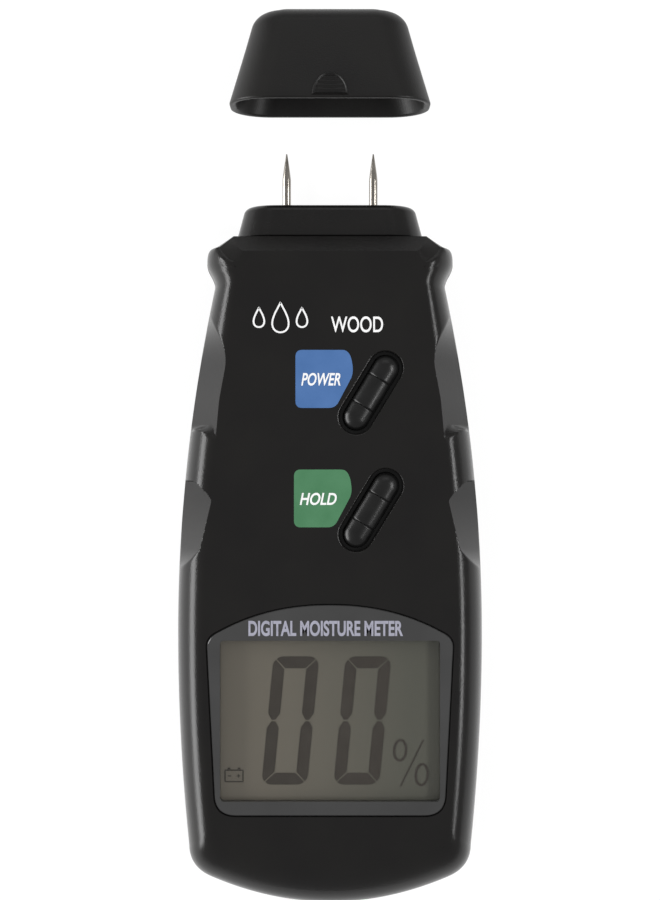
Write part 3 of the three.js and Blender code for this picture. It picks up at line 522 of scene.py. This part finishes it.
def rear_levels(steps):
    """Heights from the flat back up to the joint line: a quarter circle at the edge, then a slight lean."""
    angle = np.linspace(math.pi / 2, 0, steps)
    draw = DRAFT + BACK_ROUND * (1 - np.cos(angle))
    rows = np.array([BACK_ROUND * (1 - np.sin(angle)), draw, draw, draw / 2, 0 * draw])
    return np.column_stack([rows, [JOINT, 0, 0, 0, 0]])


def rear_outer():
    """Rings of the rear half's outside, from inside its flat back up to the joint line."""
    rows = rear_levels(14)
    return np.concatenate([casing_rings(*rows[:, :1], inset=LIP), casing_rings(*rows)])


def screw_well(x, y):
    """Stepped well of a case screw: wide for the head, then narrow for the shank."""
    head = disc(x, y, SCREW_HEAD, -1, SCREW_SEAT)
    shank = disc(x, y, CASE_PILOT, SCREW_SEAT, PARTING + 1)
    return np.concatenate([head, shank])


def door_strip(clearance):
    """Rings of the dovetailed strip, stacked along Y from outside the bottom end to the door's top."""
    narrow = DOOR_HALF + clearance
    wide = narrow + DOVETAIL
    top = DOOR_THICKNESS + clearance
    section = [
        [-narrow, 0], [-wide, top], [wide, top], [narrow, 0], [narrow, -clearance], [-narrow, -clearance],
    ]
    x, z = np.array(section).T
    return np.stack([np.stack([x, np.full(6, y), z], -1) for y in (BOTTOM - 2, DOOR[1][1] + clearance)])


rear = skin("rear_casing", rear_outer())
hollow = casing_rings(*rear_levels(8), inset=BACK_WALL)
hollow[..., 2] = PARTING + (hollow[..., 2] - PARTING) * (PARTING - BACK_WALL) / PARTING
hollow[-1, :, 2] = PARTING + 1
shape(rear, "DIFFERENCE", hollow)
posts = [disc(*s[:, :2].mean(0), CASE_POST, 1, JOINT) for s in SCREWS]
pen = BATTERY[1][0] + DOVETAIL + 3 * GAP
walls = [
    block(x, x + PEN_WALL, BATTERY[0][1], DOOR[1][1], 1, PEN_HEIGHT) for x in (-pen - PEN_WALL, pen)
]
shape(rear, "UNION", *posts, *walls)
shape(rear, "DIFFERENCE", *[screw_well(*s[:, :2].mean(0)) for s in SCREWS], door_strip(GAP), neck_room)
bay = DOOR_HALF + DOVETAIL
shape(rear, "DIFFERENCE", block(-bay, bay, FOAM[0][1] - GAP, DOOR[1][1], 1, 3))
wear(smooth(rear, 26), black_abs, "meter", "casing", "rear_shell")

RIB_COUNT, RIB_PITCH, RIB_HALF, RIB_RADIUS = 7, 1.6, 7.0, 0.45
RIBS_FROM_BOTTOM = 12
door = skin("battery_door_strip", door_strip(0))
shape(door, "INTERSECT", rear_outer())
furrow = disc(0, -0.1, RIB_RADIUS, -RIB_HALF, RIB_HALF, 16)[..., [2, 0, 1]]
shape(door, "DIFFERENCE", *[
    furrow + [0, BOTTOM + RIBS_FROM_BOTTOM + i * RIB_PITCH, 0] for i in range(RIB_COUNT)
])
wear(smooth(door, 26), black_abs, "battery_door", "casing", "battery_door")

# ---------------------------------------------------------------- probe nose
# The block that carries the two pins: a moulded insert of the same ABS, tapered to guide the cap on. Its
# neck goes through the ledge, and a flange behind the ledge is trapped between the half shells.

NOSE_BASE = LEDGE + GAP
NOSE_TAPER, NOSE_CORNER, NOSE_EDGE = (0.26, 0.2), 7.2, 1.2
FLANGE_THICKNESS, FLANGE_STEP, LEDGE_WALL = 3.6, 1.5, 2.0
PIN_RADIUS, SOCKET_RADIUS = 0.875, 2.0
PIN_FIT = 0.12  # clearance round a pin where it comes out
PINS = [box_mm(f"pin_{side}") for side in ("left", "right")]
SOCKETS = [box_mm(f"pin_socket_{side}") for side in ("left", "right")]

nose_height = BLOCK[1][1] - NOSE_BASE
nose_width, nose_depth = 2 * BLOCK[1][0], BLOCK[1][2] - BLOCK[0][2]
turn = np.linspace(0, math.pi / 2, 10)
height = np.concatenate([[0, 0.25], nose_height - NOSE_EDGE * (1 - np.sin(turn)), [nose_height]])
draw = np.concatenate([[0.25, 0], NOSE_EDGE * (1 - np.cos(turn)), [NOSE_EDGE + 0.3]])
nose = skin("probe_nose", along_y(rounded_box(
    nose_width - 2 * NOSE_TAPER[0] * height - 2 * draw,
    nose_depth - 2 * NOSE_TAPER[1] * height - 2 * draw,
    NOSE_CORNER - 0.1 * height - draw, NOSE_BASE + height, 14,
)))
flange_top = LEDGE - LEDGE_WALL - GAP
flange_base = flange_top - FLANGE_THICKNESS
neck_width, neck_depth = 2 * BLOCK_NECK_HALF, BLOCK_NECK_DEPTH
flange_width, flange_depth = neck_width + 2 * FLANGE_STEP, neck_depth + 2 * FLANGE_STEP
shape(nose, "UNION", along_y(rounded_box(neck_width, neck_depth, 1, [flange_top - 1, NOSE_BASE + 1])))
shape(nose, "UNION", along_y(rounded_box(flange_width, flange_depth, 1, [flange_base, flange_top])))
for pin, socket in zip(PINS, SOCKETS):
    x = pin[:, 0].mean()
    bore = disc(x, 0, SOCKET_RADIUS + GAP, flange_base - 1, socket[1][1] + GAP)
    hole = disc(x, 0, PIN_RADIUS + PIN_FIT, socket[1][1] + GAP, BLOCK[1][1] + 1)
    shape(nose, "DIFFERENCE", along_y(np.concatenate([bore, hole])))
wear(smooth(nose, 26), black_abs, "meter", "casing", "electrode_block")

# ---------------------------------------------------------------- probe pins
# Two turned stainless steel pins, ground to a long point and polished along their length. Each presses
# into a brass socket inside the nose.

PIN_CONE, TIP_RADIUS, PIN_CHAMFER = 5.4, 0.12, (0.2, 0.3)

# Polished stainless steel: a clear bright metal, faintly scored round the pin by the grinding wheel.
stainless = finish(
    "ground_stainless_steel", ("#88837c", "#9c9790"), 1.5, (0.16, 0.24), {"Metallic": 1.0},
    grain=0.12, relief=0.002,
)
for side, pin in zip(("left", "right"), PINS):
    start, tip = pin[:, 1]
    cone = np.linspace(0, 1, 16)
    along = np.concatenate([[start, start + PIN_CHAMFER[1]], tip - PIN_CONE * (1 - cone), [tip]])
    radii = np.concatenate([
        [PIN_RADIUS - PIN_CHAMFER[0], PIN_RADIUS],
        PIN_RADIUS + (TIP_RADIUS - PIN_RADIUS) * cone**1.15, [TIP_RADIUS * 0.4],
    ])
    rings = np.concatenate([
        disc(pin[:, 0].mean(), 0, radius, y, y, 40)[:1] for radius, y in zip(radii, along)
    ])
    wear(skin(f"probe_pin_{side}", along_y(rings)), stainless, "meter", "pin_steel", f"pin_{side}")

# ---------------------------------------------------------------- protective cap
# A hollow cap of matt black ABS that pushes over the nose and guards the pins. Its crown is slightly domed,
# its lip is rounded, and a small half-round pad with ribs shows where to push.

CAP = box_mm("cap")
CAP_WALL, CAP_TAPER, CAP_CORNER, CAP_EDGE, CAP_ROOF = 1.3, (0.285, 0.2), 8.5, 3.0, 1.4
CROWN = 0.9  # rise of the domed top
LIP_ROUND = 0.45

# The cap's ABS is duller than the casing, so that it shows no sharp highlights.
cap_abs = finish(
    "moulded_matt_black_abs", ("#0f0e0e", "#131211"), 12, (0.38, 0.44),
    {"IOR": 1.5, "Specular IOR Level": 0.24}, grain=0.3, relief=0.03,
)
cap_height = CAP[1][1] - CAP[0][1]
cap_width, cap_depth = CAP[1][0] - CAP[0][0], CAP[1][2] - CAP[0][2]


def cap_rings(draw, height, edge_draw):
    """Rounded rectangles of the cap, drawn in by that much all round and by the edge rounding."""
    inward = draw + edge_draw
    return along_y(rounded_box(
        cap_width - 2 * inward - 2 * CAP_TAPER[0] * height,
        cap_depth - 2 * inward - 2 * CAP_TAPER[1] * height,
        np.maximum(CAP_CORNER - draw - 0.05 * height - 0.5 * edge_draw, 0.5), CAP[0][1] + height, 16,
    ))


def cap_side(wall, roof, edge, crown):
    """Heights and inward draws of one face of the cap, from near the lip to the middle of the crown."""
    turn = np.linspace(0, math.pi / 2, 14)
    inward = np.linspace(0, 1, 10)[1:]
    top = cap_height - roof - crown
    straight = np.linspace(0.1, 0.9, 6) * (top - edge)
    height = np.concatenate([[0.5], straight, top - edge * (1 - np.sin(turn))])
    draw = np.concatenate([np.zeros(7), edge * (1 - np.cos(turn))])
    room = cap_depth / 2 - wall - edge - CAP_TAPER[1] * top - 0.6
    height = np.concatenate([height, top + crown * (1 - (1 - inward) ** 2)])
    draw = np.concatenate([draw, edge + room * inward])
    return cap_rings(wall, height, draw)


lip_turn = np.linspace(math.pi, 0, 9)[1:-1]
lip_ring = np.concatenate([
    cap_rings(CAP_WALL / 2 * (1 - math.cos(a)), np.array([LIP_ROUND * (1 - math.sin(a))]), 0.0)
    for a in lip_turn
])
inside = cap_side(CAP_WALL, CAP_ROOF, CAP_EDGE - CAP_WALL, 0.0)[::-1]
outside = cap_side(0.0, 0.0, CAP_EDGE, CROWN)
cap = skin("pin_cap", np.concatenate([inside, lip_ring, outside]))
wear(smooth(cap, 40), cap_abs, "cap", "cap", "cap")

PAD_HALF, PAD_RISE, PAD_FROM_LIP, PAD_SUNK = 3.7, 4.7, 0.7, 0.5
PAD_RIM, PAD_RIM_AT, PAD_RIM_WIDTH = 0.22, 0.93, 0.05  # height of the rim, and its place and width as shares
PAD_RIB, PAD_RIB_PITCH, PAD_RIB_INSIDE = 0.1, 0.85, 0.84
arc = np.linspace(0, math.pi, 40)
base = np.linspace(-1, 1, 22)[1:-1]
outline = np.column_stack([
    np.concatenate([PAD_HALF * np.cos(arc), PAD_HALF * base]),
    np.concatenate([PAD_RISE * np.sin(arc), 0 * base]),
])
middle = np.array([0, PAD_RISE * 0.35])
scales = np.concatenate([[1, 1], np.linspace(0.99, 0.04, 34)])
sunk = np.concatenate([[-PAD_SUNK], np.zeros(35)])
spots = middle + (outline - middle) * scales[:, None, None]
rim = PAD_RIM * np.exp(-(((scales - PAD_RIM_AT) / PAD_RIM_WIDTH) ** 2))[:, None]
wave = np.sin(spots[..., 1] * 2 * math.pi / PAD_RIB_PITCH)
ribs = PAD_RIB * (scales < PAD_RIB_INSIDE)[:, None] * wave
stand = PARTING + cap_depth / 2 - CAP_TAPER[1] * spots[..., 1] + sunk[:, None] + rim + ribs + 0.02
pad = np.stack([spots[..., 0], CAP[0][1] + PAD_FROM_LIP + spots[..., 1], stand], -1)
wear(smooth(skin("thumb_pad", pad), 50), cap_abs, "cap", "cap")

# ---------------------------------------------------------------- display window
# A clear acrylic lens let into the face. Its dark grey border and the white line of words are printed on
# it, and the middle is left clear over the display.

LENS_EDGE = 0.15
PANE_GAP = 0.04
WORDS_BOX = (-16.3, 14.6, -12.3, -9.2)  # left, right, bottom, top

# Dark grey printed border under clear acrylic: even, glossy and a touch warm.
printed_border = finish("printed_acrylic_border", ("#333333", "#3a3a3a"), 14, (0.16, 0.2), {"IOR": 1.49})
clear_acrylic = finish(
    "clear_acrylic", ("#3b3b38", "#40403c"), 20, (0.04, 0.06), {"IOR": 1.49, "Alpha": 0.12},
)
white_ink = finish("screen_printed_white_ink", ("#8e8e9c", "#9c9caa"), 1.5, (0.5, 0.6))

border = skin("window_border", window_rings(
    0, [WINDOW_LOW[2], WINDOW_HIGH[2] - LENS_EDGE, WINDOW_HIGH[2]], [0, 0, -LENS_EDGE],
))
opening = rounded_box(
    2 * VIEW_HALF, VIEW_HEIGHT, VIEW_CORNER, [WINDOW_LOW[2] - 1, WINDOW_HIGH[2] + 1],
)
opening[..., 1] += VIEW_MIDDLE
shape(border, "DIFFERENCE", opening)
wear(smooth(border, 26), printed_border, "meter", "window", "display_window")
pane = rounded_box(
    2 * VIEW_HALF - PANE_GAP, VIEW_HEIGHT - PANE_GAP, VIEW_CORNER, [WINDOW_LOW[2], WINDOW_HIGH[2]],
)
pane[..., 1] += VIEW_MIDDLE
wear(smooth(skin("window_pane", pane), 26), clear_acrylic, "meter", "window")


def lettering(name, words, box, z, slant=0.0, bold=0.02):
    """Flat raised words of the plain built-in typeface, made a mesh and stretched to fill a box, which is
    left, right, bottom, top."""
    left, right, bottom, top = box
    text = bpy.data.curves.new(name, "FONT")
    text.body = words
    text.shear = slant
    text.offset = bold
    text.extrude = 0.01
    draft = bpy.data.objects.new(name, text)
    scene.collection.objects.link(draft)
    bpy.context.view_layer.update()
    mesh = bpy.data.meshes.new_from_object(draft.evaluated_get(bpy.context.evaluated_depsgraph_get()))
    bpy.data.objects.remove(draft)
    points = np.empty(len(mesh.vertices) * 3)
    mesh.vertices.foreach_get("co", points)
    points = points.reshape(-1, 3)
    low, high = points.min(0), points.max(0)
    unit = (points - low) / (high - low)
    points = np.array([left, bottom, z]) + unit * [right - left, top - bottom, 0.03]
    mesh.vertices.foreach_set("co", (points * MM).ravel())
    mesh.update()
    piece = bpy.data.objects.new(name, mesh)
    scene.collection.objects.link(piece)
    return piece


words = lettering("window_words", "DIGITAL MOISTURE METER", WORDS_BOX, WINDOW_HIGH[2], bold=0.03)
wear(words, white_ink, "meter", "window")

# ---------------------------------------------------------------- display
# A twisted nematic display glass, grey-brown without its backlight. The two figures, the percent sign and
# the battery mark are dark segments in the glass.

DIGIT_WIDTH, DIGIT_HEIGHT, STROKE, SEGMENT_GAP = 9.2, 25.8, 2.4, 0.14
DIGIT_SLANT = 2.45 / 25.8
DIGIT_CORNER = 1.9
INK_HEIGHT, INK_GAP = 0.04, 0.01  # thickness of the segments, and their height above the glass
DIGIT_FEET = [(-13.8, -42.4), (0.7, -42.4)]

dark_segment = finish("dark_display_segment", ("#332d27", "#3a342e"), 3, (0.3, 0.4))


def flat(name, outline):
    """Thin printed shape on the display glass."""
    z = LCD_HIGH[2] + INK_GAP
    return wear(slab(name, outline, z, z + INK_HEIGHT), dark_segment, "meter", "display_glass")


def upright():
    """Half of a digit's lower left stroke: straight, pointed at the top and rounded and mitred at the foot."""
    arc = np.linspace(math.pi, 1.25 * math.pi, 8)
    heel = DIGIT_CORNER * (1 + np.stack([np.cos(arc), np.sin(arc)], -1)) + [0, SEGMENT_GAP]
    tip = DIGIT_HEIGHT / 2 - SEGMENT_GAP
    shoulder = tip - STROKE * 0.55
    points = [
        [STROKE, STROKE + SEGMENT_GAP * 1.4], [STROKE, shoulder], [STROKE * 0.66, tip],
        [STROKE * 0.34, tip], [0, shoulder],
    ]
    return np.concatenate([points, heel])


def foot_bar():
    """A digit's bottom stroke, mitred at both ends."""
    arc = np.linspace(1.25 * math.pi, 1.5 * math.pi, 8)
    left = DIGIT_CORNER * (1 + np.stack([np.cos(arc), np.sin(arc)], -1)) + [SEGMENT_GAP, 0]
    left = np.concatenate([[[STROKE + SEGMENT_GAP * 1.4, STROKE]], left])
    right = (left * [-1, 1] + [DIGIT_WIDTH, 0])[::-1]
    return np.concatenate([left, right])


def mirror_x(points):
    """A stroke on the other side of the digit."""
    return (points * [-1, 1] + [DIGIT_WIDTH, 0])[::-1]


def mirror_y(points):
    """A stroke in the other half of the digit."""
    return (points * [1, -1] + [0, DIGIT_HEIGHT])[::-1]


lower, bar = upright()[::-1], foot_bar()
strokes = [lower, mirror_x(lower), mirror_y(lower), mirror_x(mirror_y(lower)), bar, mirror_y(bar)]
for count, foot in enumerate(DIGIT_FEET, 1):
    for part, points in enumerate(strokes, 1):
        leaned = points + np.stack([points[:, 1] * DIGIT_SLANT, 0 * points[:, 1]], -1)
        flat(f"figure_{count}_stroke_{part}", leaned + foot)


def band(name, outline, width, z):
    """Closed line of that width round an outline at height z, as a ring with four-sided section."""
    outline = np.asarray(outline, float)
    along = np.roll(outline, -1, 0) - np.roll(outline, 1, 0)
    out = np.stack([along[:, 1], -along[:, 0]], -1) / np.linalg.norm(along, axis=1)[:, None] * width / 2
    corners = [(1, 0), (1, INK_HEIGHT), (-1, INK_HEIGHT), (-1, 0)]
    rings = np.stack([
        np.column_stack([outline + side * out, np.full(len(outline), z + rise)]) for side, rise in corners
    ], 1)
    return skin(name, rings[::-1], closed=True)


# Centre, half width and half height of the percent sign's rings, and centre, width and height of the
# battery mark's parts.
PERCENT_RINGS = {"upper": (14.1, -35.5, 1.2, 2.05), "lower": (18.45, -40.4, 1.2, 2.1)}
PERCENT_SLASH = [[14.0, -42.7], [14.35, -42.7], [18.95, -33.4], [18.6, -33.4]]
PERCENT_LINE, BATTERY_LINE, RING_LEAN = 0.5, 0.28, 0.1
CELL = [[-21.1, -41.8], [-17.5, -41.8], [-17.5, -39.5], [-21.1, -39.5]]
BATTERY_MARK = {
    "left_stud": (-20.3, -39.15, 0.6, 0.4),
    "right_stud": (-18.3, -39.15, 0.6, 0.4),
    "minus": (-20.2, -40.65, 0.7, 0.22),
    "plus_bar": (-18.4, -40.65, 0.7, 0.22),
    "plus_post": (-18.4, -40.65, 0.2, 0.7),
}

on_glass = LCD_HIGH[2] + INK_GAP
around = np.linspace(0, 2 * math.pi, 48, endpoint=False)
for name, (x, y, wide, tall) in PERCENT_RINGS.items():
    lean = RING_LEAN * np.sin(around)
    oval = np.stack([x + wide * np.cos(around) + lean, y + tall * np.sin(around)], -1)
    ring = band(f"percent_{name}_ring", oval, PERCENT_LINE, on_glass)
    wear(ring, dark_segment, "meter", "display_glass")
flat("percent_slash", PERCENT_SLASH)
edges = [np.linspace(CELL[i], CELL[(i + 1) % 4], 8, endpoint=False) for i in range(4)]
case_line = band("battery_mark_case", np.concatenate(edges), BATTERY_LINE, on_glass)
wear(case_line, dark_segment, "meter", "display_glass")
corner_signs = np.array([[-1, -1], [1, -1], [1, 1], [-1, 1]])
for name, (x, y, wide, tall) in BATTERY_MARK.items():
    flat(f"battery_mark_{name}", [x, y] + corner_signs * [wide / 2, tall / 2])

# ---------------------------------------------------------------- keys
# Two capsule-shaped keys of moulded silicone rubber in tilted holes. A flange under the face keeps each in
# place, and two fine grooves cross its top. A carbon pill under it closes the contact on the board.

KEY_FLANGE, KEY_DOME, KEY_TOP = 1.15, 2.3, 0.9  # the grooves cut only above KEY_TOP under the face
GROOVE_AT, GROOVE_WIDTH, GROOVE_DEPTH = 3.15, 0.13, 0.2

# Black silicone rubber with a satin skin: darker than the casing, with soft broad highlights.
key_rubber = finish(
    "satin_black_silicone", ("#0f0f0f", "#131313"), 2.5, (0.28, 0.34),
    {"IOR": 1.43, "Specular IOR Level": 0.35}, grain=0.2, relief=0.004,
)
for name, centre in KEY_CENTRES.items():
    low, high = box_mm(f"{name}_key")
    turn = np.linspace(0, math.pi / 2, 22)
    flange = KEY_RADIUS + KEY_FLANGE
    radii = np.concatenate([[flange, flange, KEY_RADIUS], KEY_RADIUS * np.cos(turn[:-1]), [0.03]])
    dome = high[2] - KEY_DOME + KEY_DOME * np.sin(turn)
    flange_top = FACE - FACE_WALL - GAP
    heights = np.concatenate([[low[2], flange_top, flange_top], dome])
    rings = np.stack([pill(centre, radius, z, 120, 28) for radius, z in zip(radii, heights)])
    axis = np.array([math.sin(KEY_TILT), math.cos(KEY_TILT)])
    along = (rings[..., :2] - centre) @ axis
    groove = GROOVE_DEPTH * np.exp(-(((np.abs(along) - GROOVE_AT) / GROOVE_WIDTH) ** 2))
    rings[..., 2] -= np.where(rings[..., 2] > FACE - KEY_TOP, groove, 0)
    wear(smooth(skin(f"{name}_key_cap", rings), 50), key_rubber, f"{name}_key", "key", f"{name}_key")

# ---------------------------------------------------------------- printing on the face
# Two coloured patches name the keys, and a plain mark of three drops stands above them. All of it is pad
# printed ink, a few hundredths of a millimetre thick.

INK = 0.035
blue_ink = finish("pad_printed_blue_ink", ("#3c6398", "#41689e"), 4, (0.4, 0.5))
green_ink = finish("pad_printed_green_ink", ("#3b704b", "#417651"), 4, (0.4, 0.5))
face_ink = finish("pad_printed_white_ink", ("#e2e2e2", "#ededed"), 1.5, (0.5, 0.6))


def patch_outline(left, right, bottom, top):
    """Rounded patch whose right side bulges near the top and slants in towards the bottom."""
    corners = [
        [(0.12, 0), (0.58, 0)],
        [(0.58, 0), (0.69, 0), (0.745, 0.09)],
        [(0.745, 0.09), (0.965, 0.5)],
        [(0.965, 0.5), (1.015, 0.6), (0.995, 0.74)],
        [(0.995, 0.74), (0.965, 1), (0.82, 1)],
        [(0.82, 1), (0.12, 1)],
        [(0.12, 1), (0, 1), (0, 0.88)],
        [(0, 0.88), (0, 0.12)],
        [(0, 0.12), (0, 0), (0.12, 0)],
    ]
    unit = np.concatenate([
        bezier(8, *[np.array(point, float)[:, None] for point in side])[0] for side in corners
    ])
    return unit * [right - left, top - bottom] + [left, bottom]


PATCHES = {
    "power": {"ink": blue_ink, "box": (-6.9, 4.55, 33.3, 44.9), "word": (-5.75, 2.1, 37.75, 40.3)},
    "hold": {"ink": green_ink, "box": (-7.2, 4.3, 9.45, 21.0), "word": (-6.05, 1.35, 13.9, 16.35)},
}
for name, patch in PATCHES.items():
    plate = slab(f"{name}_patch", patch_outline(*patch["box"]), FACE - 0.02, FACE + INK)
    wear(plate, patch["ink"], "meter", "casing")
    word = lettering(f"{name}_word", name.upper(), patch["word"], FACE + INK, slant=0.25)
    wear(word, face_ink, "meter", "casing")


def drop(x, y, size):
    """Line round a water drop: a circle whose upper half draws up to a point."""
    t = np.linspace(0, 2 * math.pi, 60, endpoint=False)
    return np.stack([x - size * np.sin(t) * np.sin(t / 2) ** 1.4, y + size * 1.3 * np.cos(t)], -1)


DROPS = {"left": (-14.2, 1.5), "middle": (-9.9, 2.3), "right": (-5.6, 1.5)}  # centre and size
DROP_Y, DROP_LINE = 51.4, 0.35
for name, (x, size) in DROPS.items():
    line = band(f"drop_mark_{name}", drop(x, DROP_Y, size), DROP_LINE, FACE - INK_GAP)
    wear(line, face_ink, "meter", "casing")
word = lettering("timber_word", "WOOD", (0.2, 10.6, 48.4, 51.6), FACE, bold=0.01)
wear(word, face_ink, "meter", "casing")

# ---------------------------------------------------------------- parts inside
# The display glass with its holder and zebra strips, the key web, the board with its parts, the battery
# with its snap and leads, the pin sockets and the screws keep their plain solids.

# Each material's two tones, patch size, roughness, shader values, grain size and relief. The display glass
# also has the two ends of its run: painted light, from a lighter warm grey on the left, where the strong lamp
# falls, to a darker greener grey on the right.
INSIDE = {
    # Painted light: the display glass is lighter on the left and darker on the right.
    "display_glass": (("#746e63", "#57574e"), 30, (0.12, 0.2), {"IOR": 1.5}, 0, 0, (-40, 40)),
    "white_abs_frame": (("#cfcfc9", "#dbdbd5"), 6, (0.5, 0.62), {}, 0.3, 0.01),
    "pink_zebra_rubber": (("#ab7380", "#bd8290"), 0.6, (0.6, 0.75), {}, 0.2, 0.01),
    "grey_silicone_web": (("#343434", "#3f3f3f"), 4, (0.6, 0.75), {}, 0.3, 0.01),
    "carbon_pill": (("#090909", "#101010"), 1, (0.7, 0.85), {}, 0.15, 0.01),
    "green_solder_mask": (("#174a2b", "#1f5c37"), 3, (0.32, 0.48), {}, 0.5, 0.01),
    "black_epoxy": (("#121212", "#1a1a1a"), 2, (0.5, 0.66), {}, 0.12, 0.008),
    "blue_trimmer_polyester": (("#1f4fa6", "#275ab8"), 2, (0.42, 0.55), {}, 0.2, 0.006),
    "navy_capacitor_sleeve": (("#1a2946", "#21345a"), 3, (0.28, 0.4), {}, 0.4, 0.004),
    "tinned_steel_can": (("#b6b7b9", "#c9cacb"), 2, (0.24, 0.4), {"Metallic": 1.0}, 0.2, 0.004),
    "turned_brass": (("#bd9444", "#cfa954"), 2, (0.22, 0.36), {"Metallic": 1.0}, 0.2, 0.004),
    "zinc_plated_steel": (("#aeb0ae", "#c0c1bd"), 1.5, (0.28, 0.45), {"Metallic": 1.0}, 0.2, 0.006),
    "printed_steel_jacket": (("#29313d", "#333c49"), 12, (0.3, 0.42), {"Metallic": 0.4}, 0.6, 0.004),
    "black_vinyl": (("#0f0f0f", "#171717"), 4, (0.5, 0.65), {}, 0.3, 0.01),
    "red_pvc_sleeve": (("#a31b16", "#b8251f"), 2, (0.4, 0.55), {}, 0.2, 0.004),
    "black_pvc_sleeve": (("#101010", "#191919"), 2, (0.4, 0.55), {}, 0.2, 0.004),
    "grey_open_foam": (("#3e3e3e", "#545454"), 0.8, (0.9, 1.0), {}, 0.6, 0.15),
}
WEARERS = {
    "display_glass": ["lcd_panel"],
    "white_abs_frame": ["lcd_holder"],
    "pink_zebra_rubber": ["zebra_strip_bottom", "zebra_strip_top"],
    "grey_silicone_web": ["keypad_web"],
    "carbon_pill": ["power_contact", "hold_contact"],
    "green_solder_mask": ["circuit_board"],
    "black_epoxy": ["main_chip", "op_amp"],
    "blue_trimmer_polyester": ["trimmer"],
    "navy_capacitor_sleeve": ["capacitor"],
    "tinned_steel_can": ["crystal"],
    "turned_brass": ["pin_socket_left", "pin_socket_right"],
    "zinc_plated_steel": [f"{kind}_screw_{i}" for kind in ("case", "board") for i in (1, 2, 3, 4)],
    "printed_steel_jacket": ["battery"],
    "black_vinyl": ["battery_snap"],
    "red_pvc_sleeve": ["battery_lead_red", "electrode_lead_left"],
    "black_pvc_sleeve": ["battery_lead_black", "electrode_lead_right"],
    "grey_open_foam": ["battery_foam"],
}
for name, looks in INSIDE.items():
    made = finish(name, *looks)
    for solid in WEARERS[name]:
        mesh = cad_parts[solid].data
        mesh.materials.clear()
        mesh.materials.append(made)
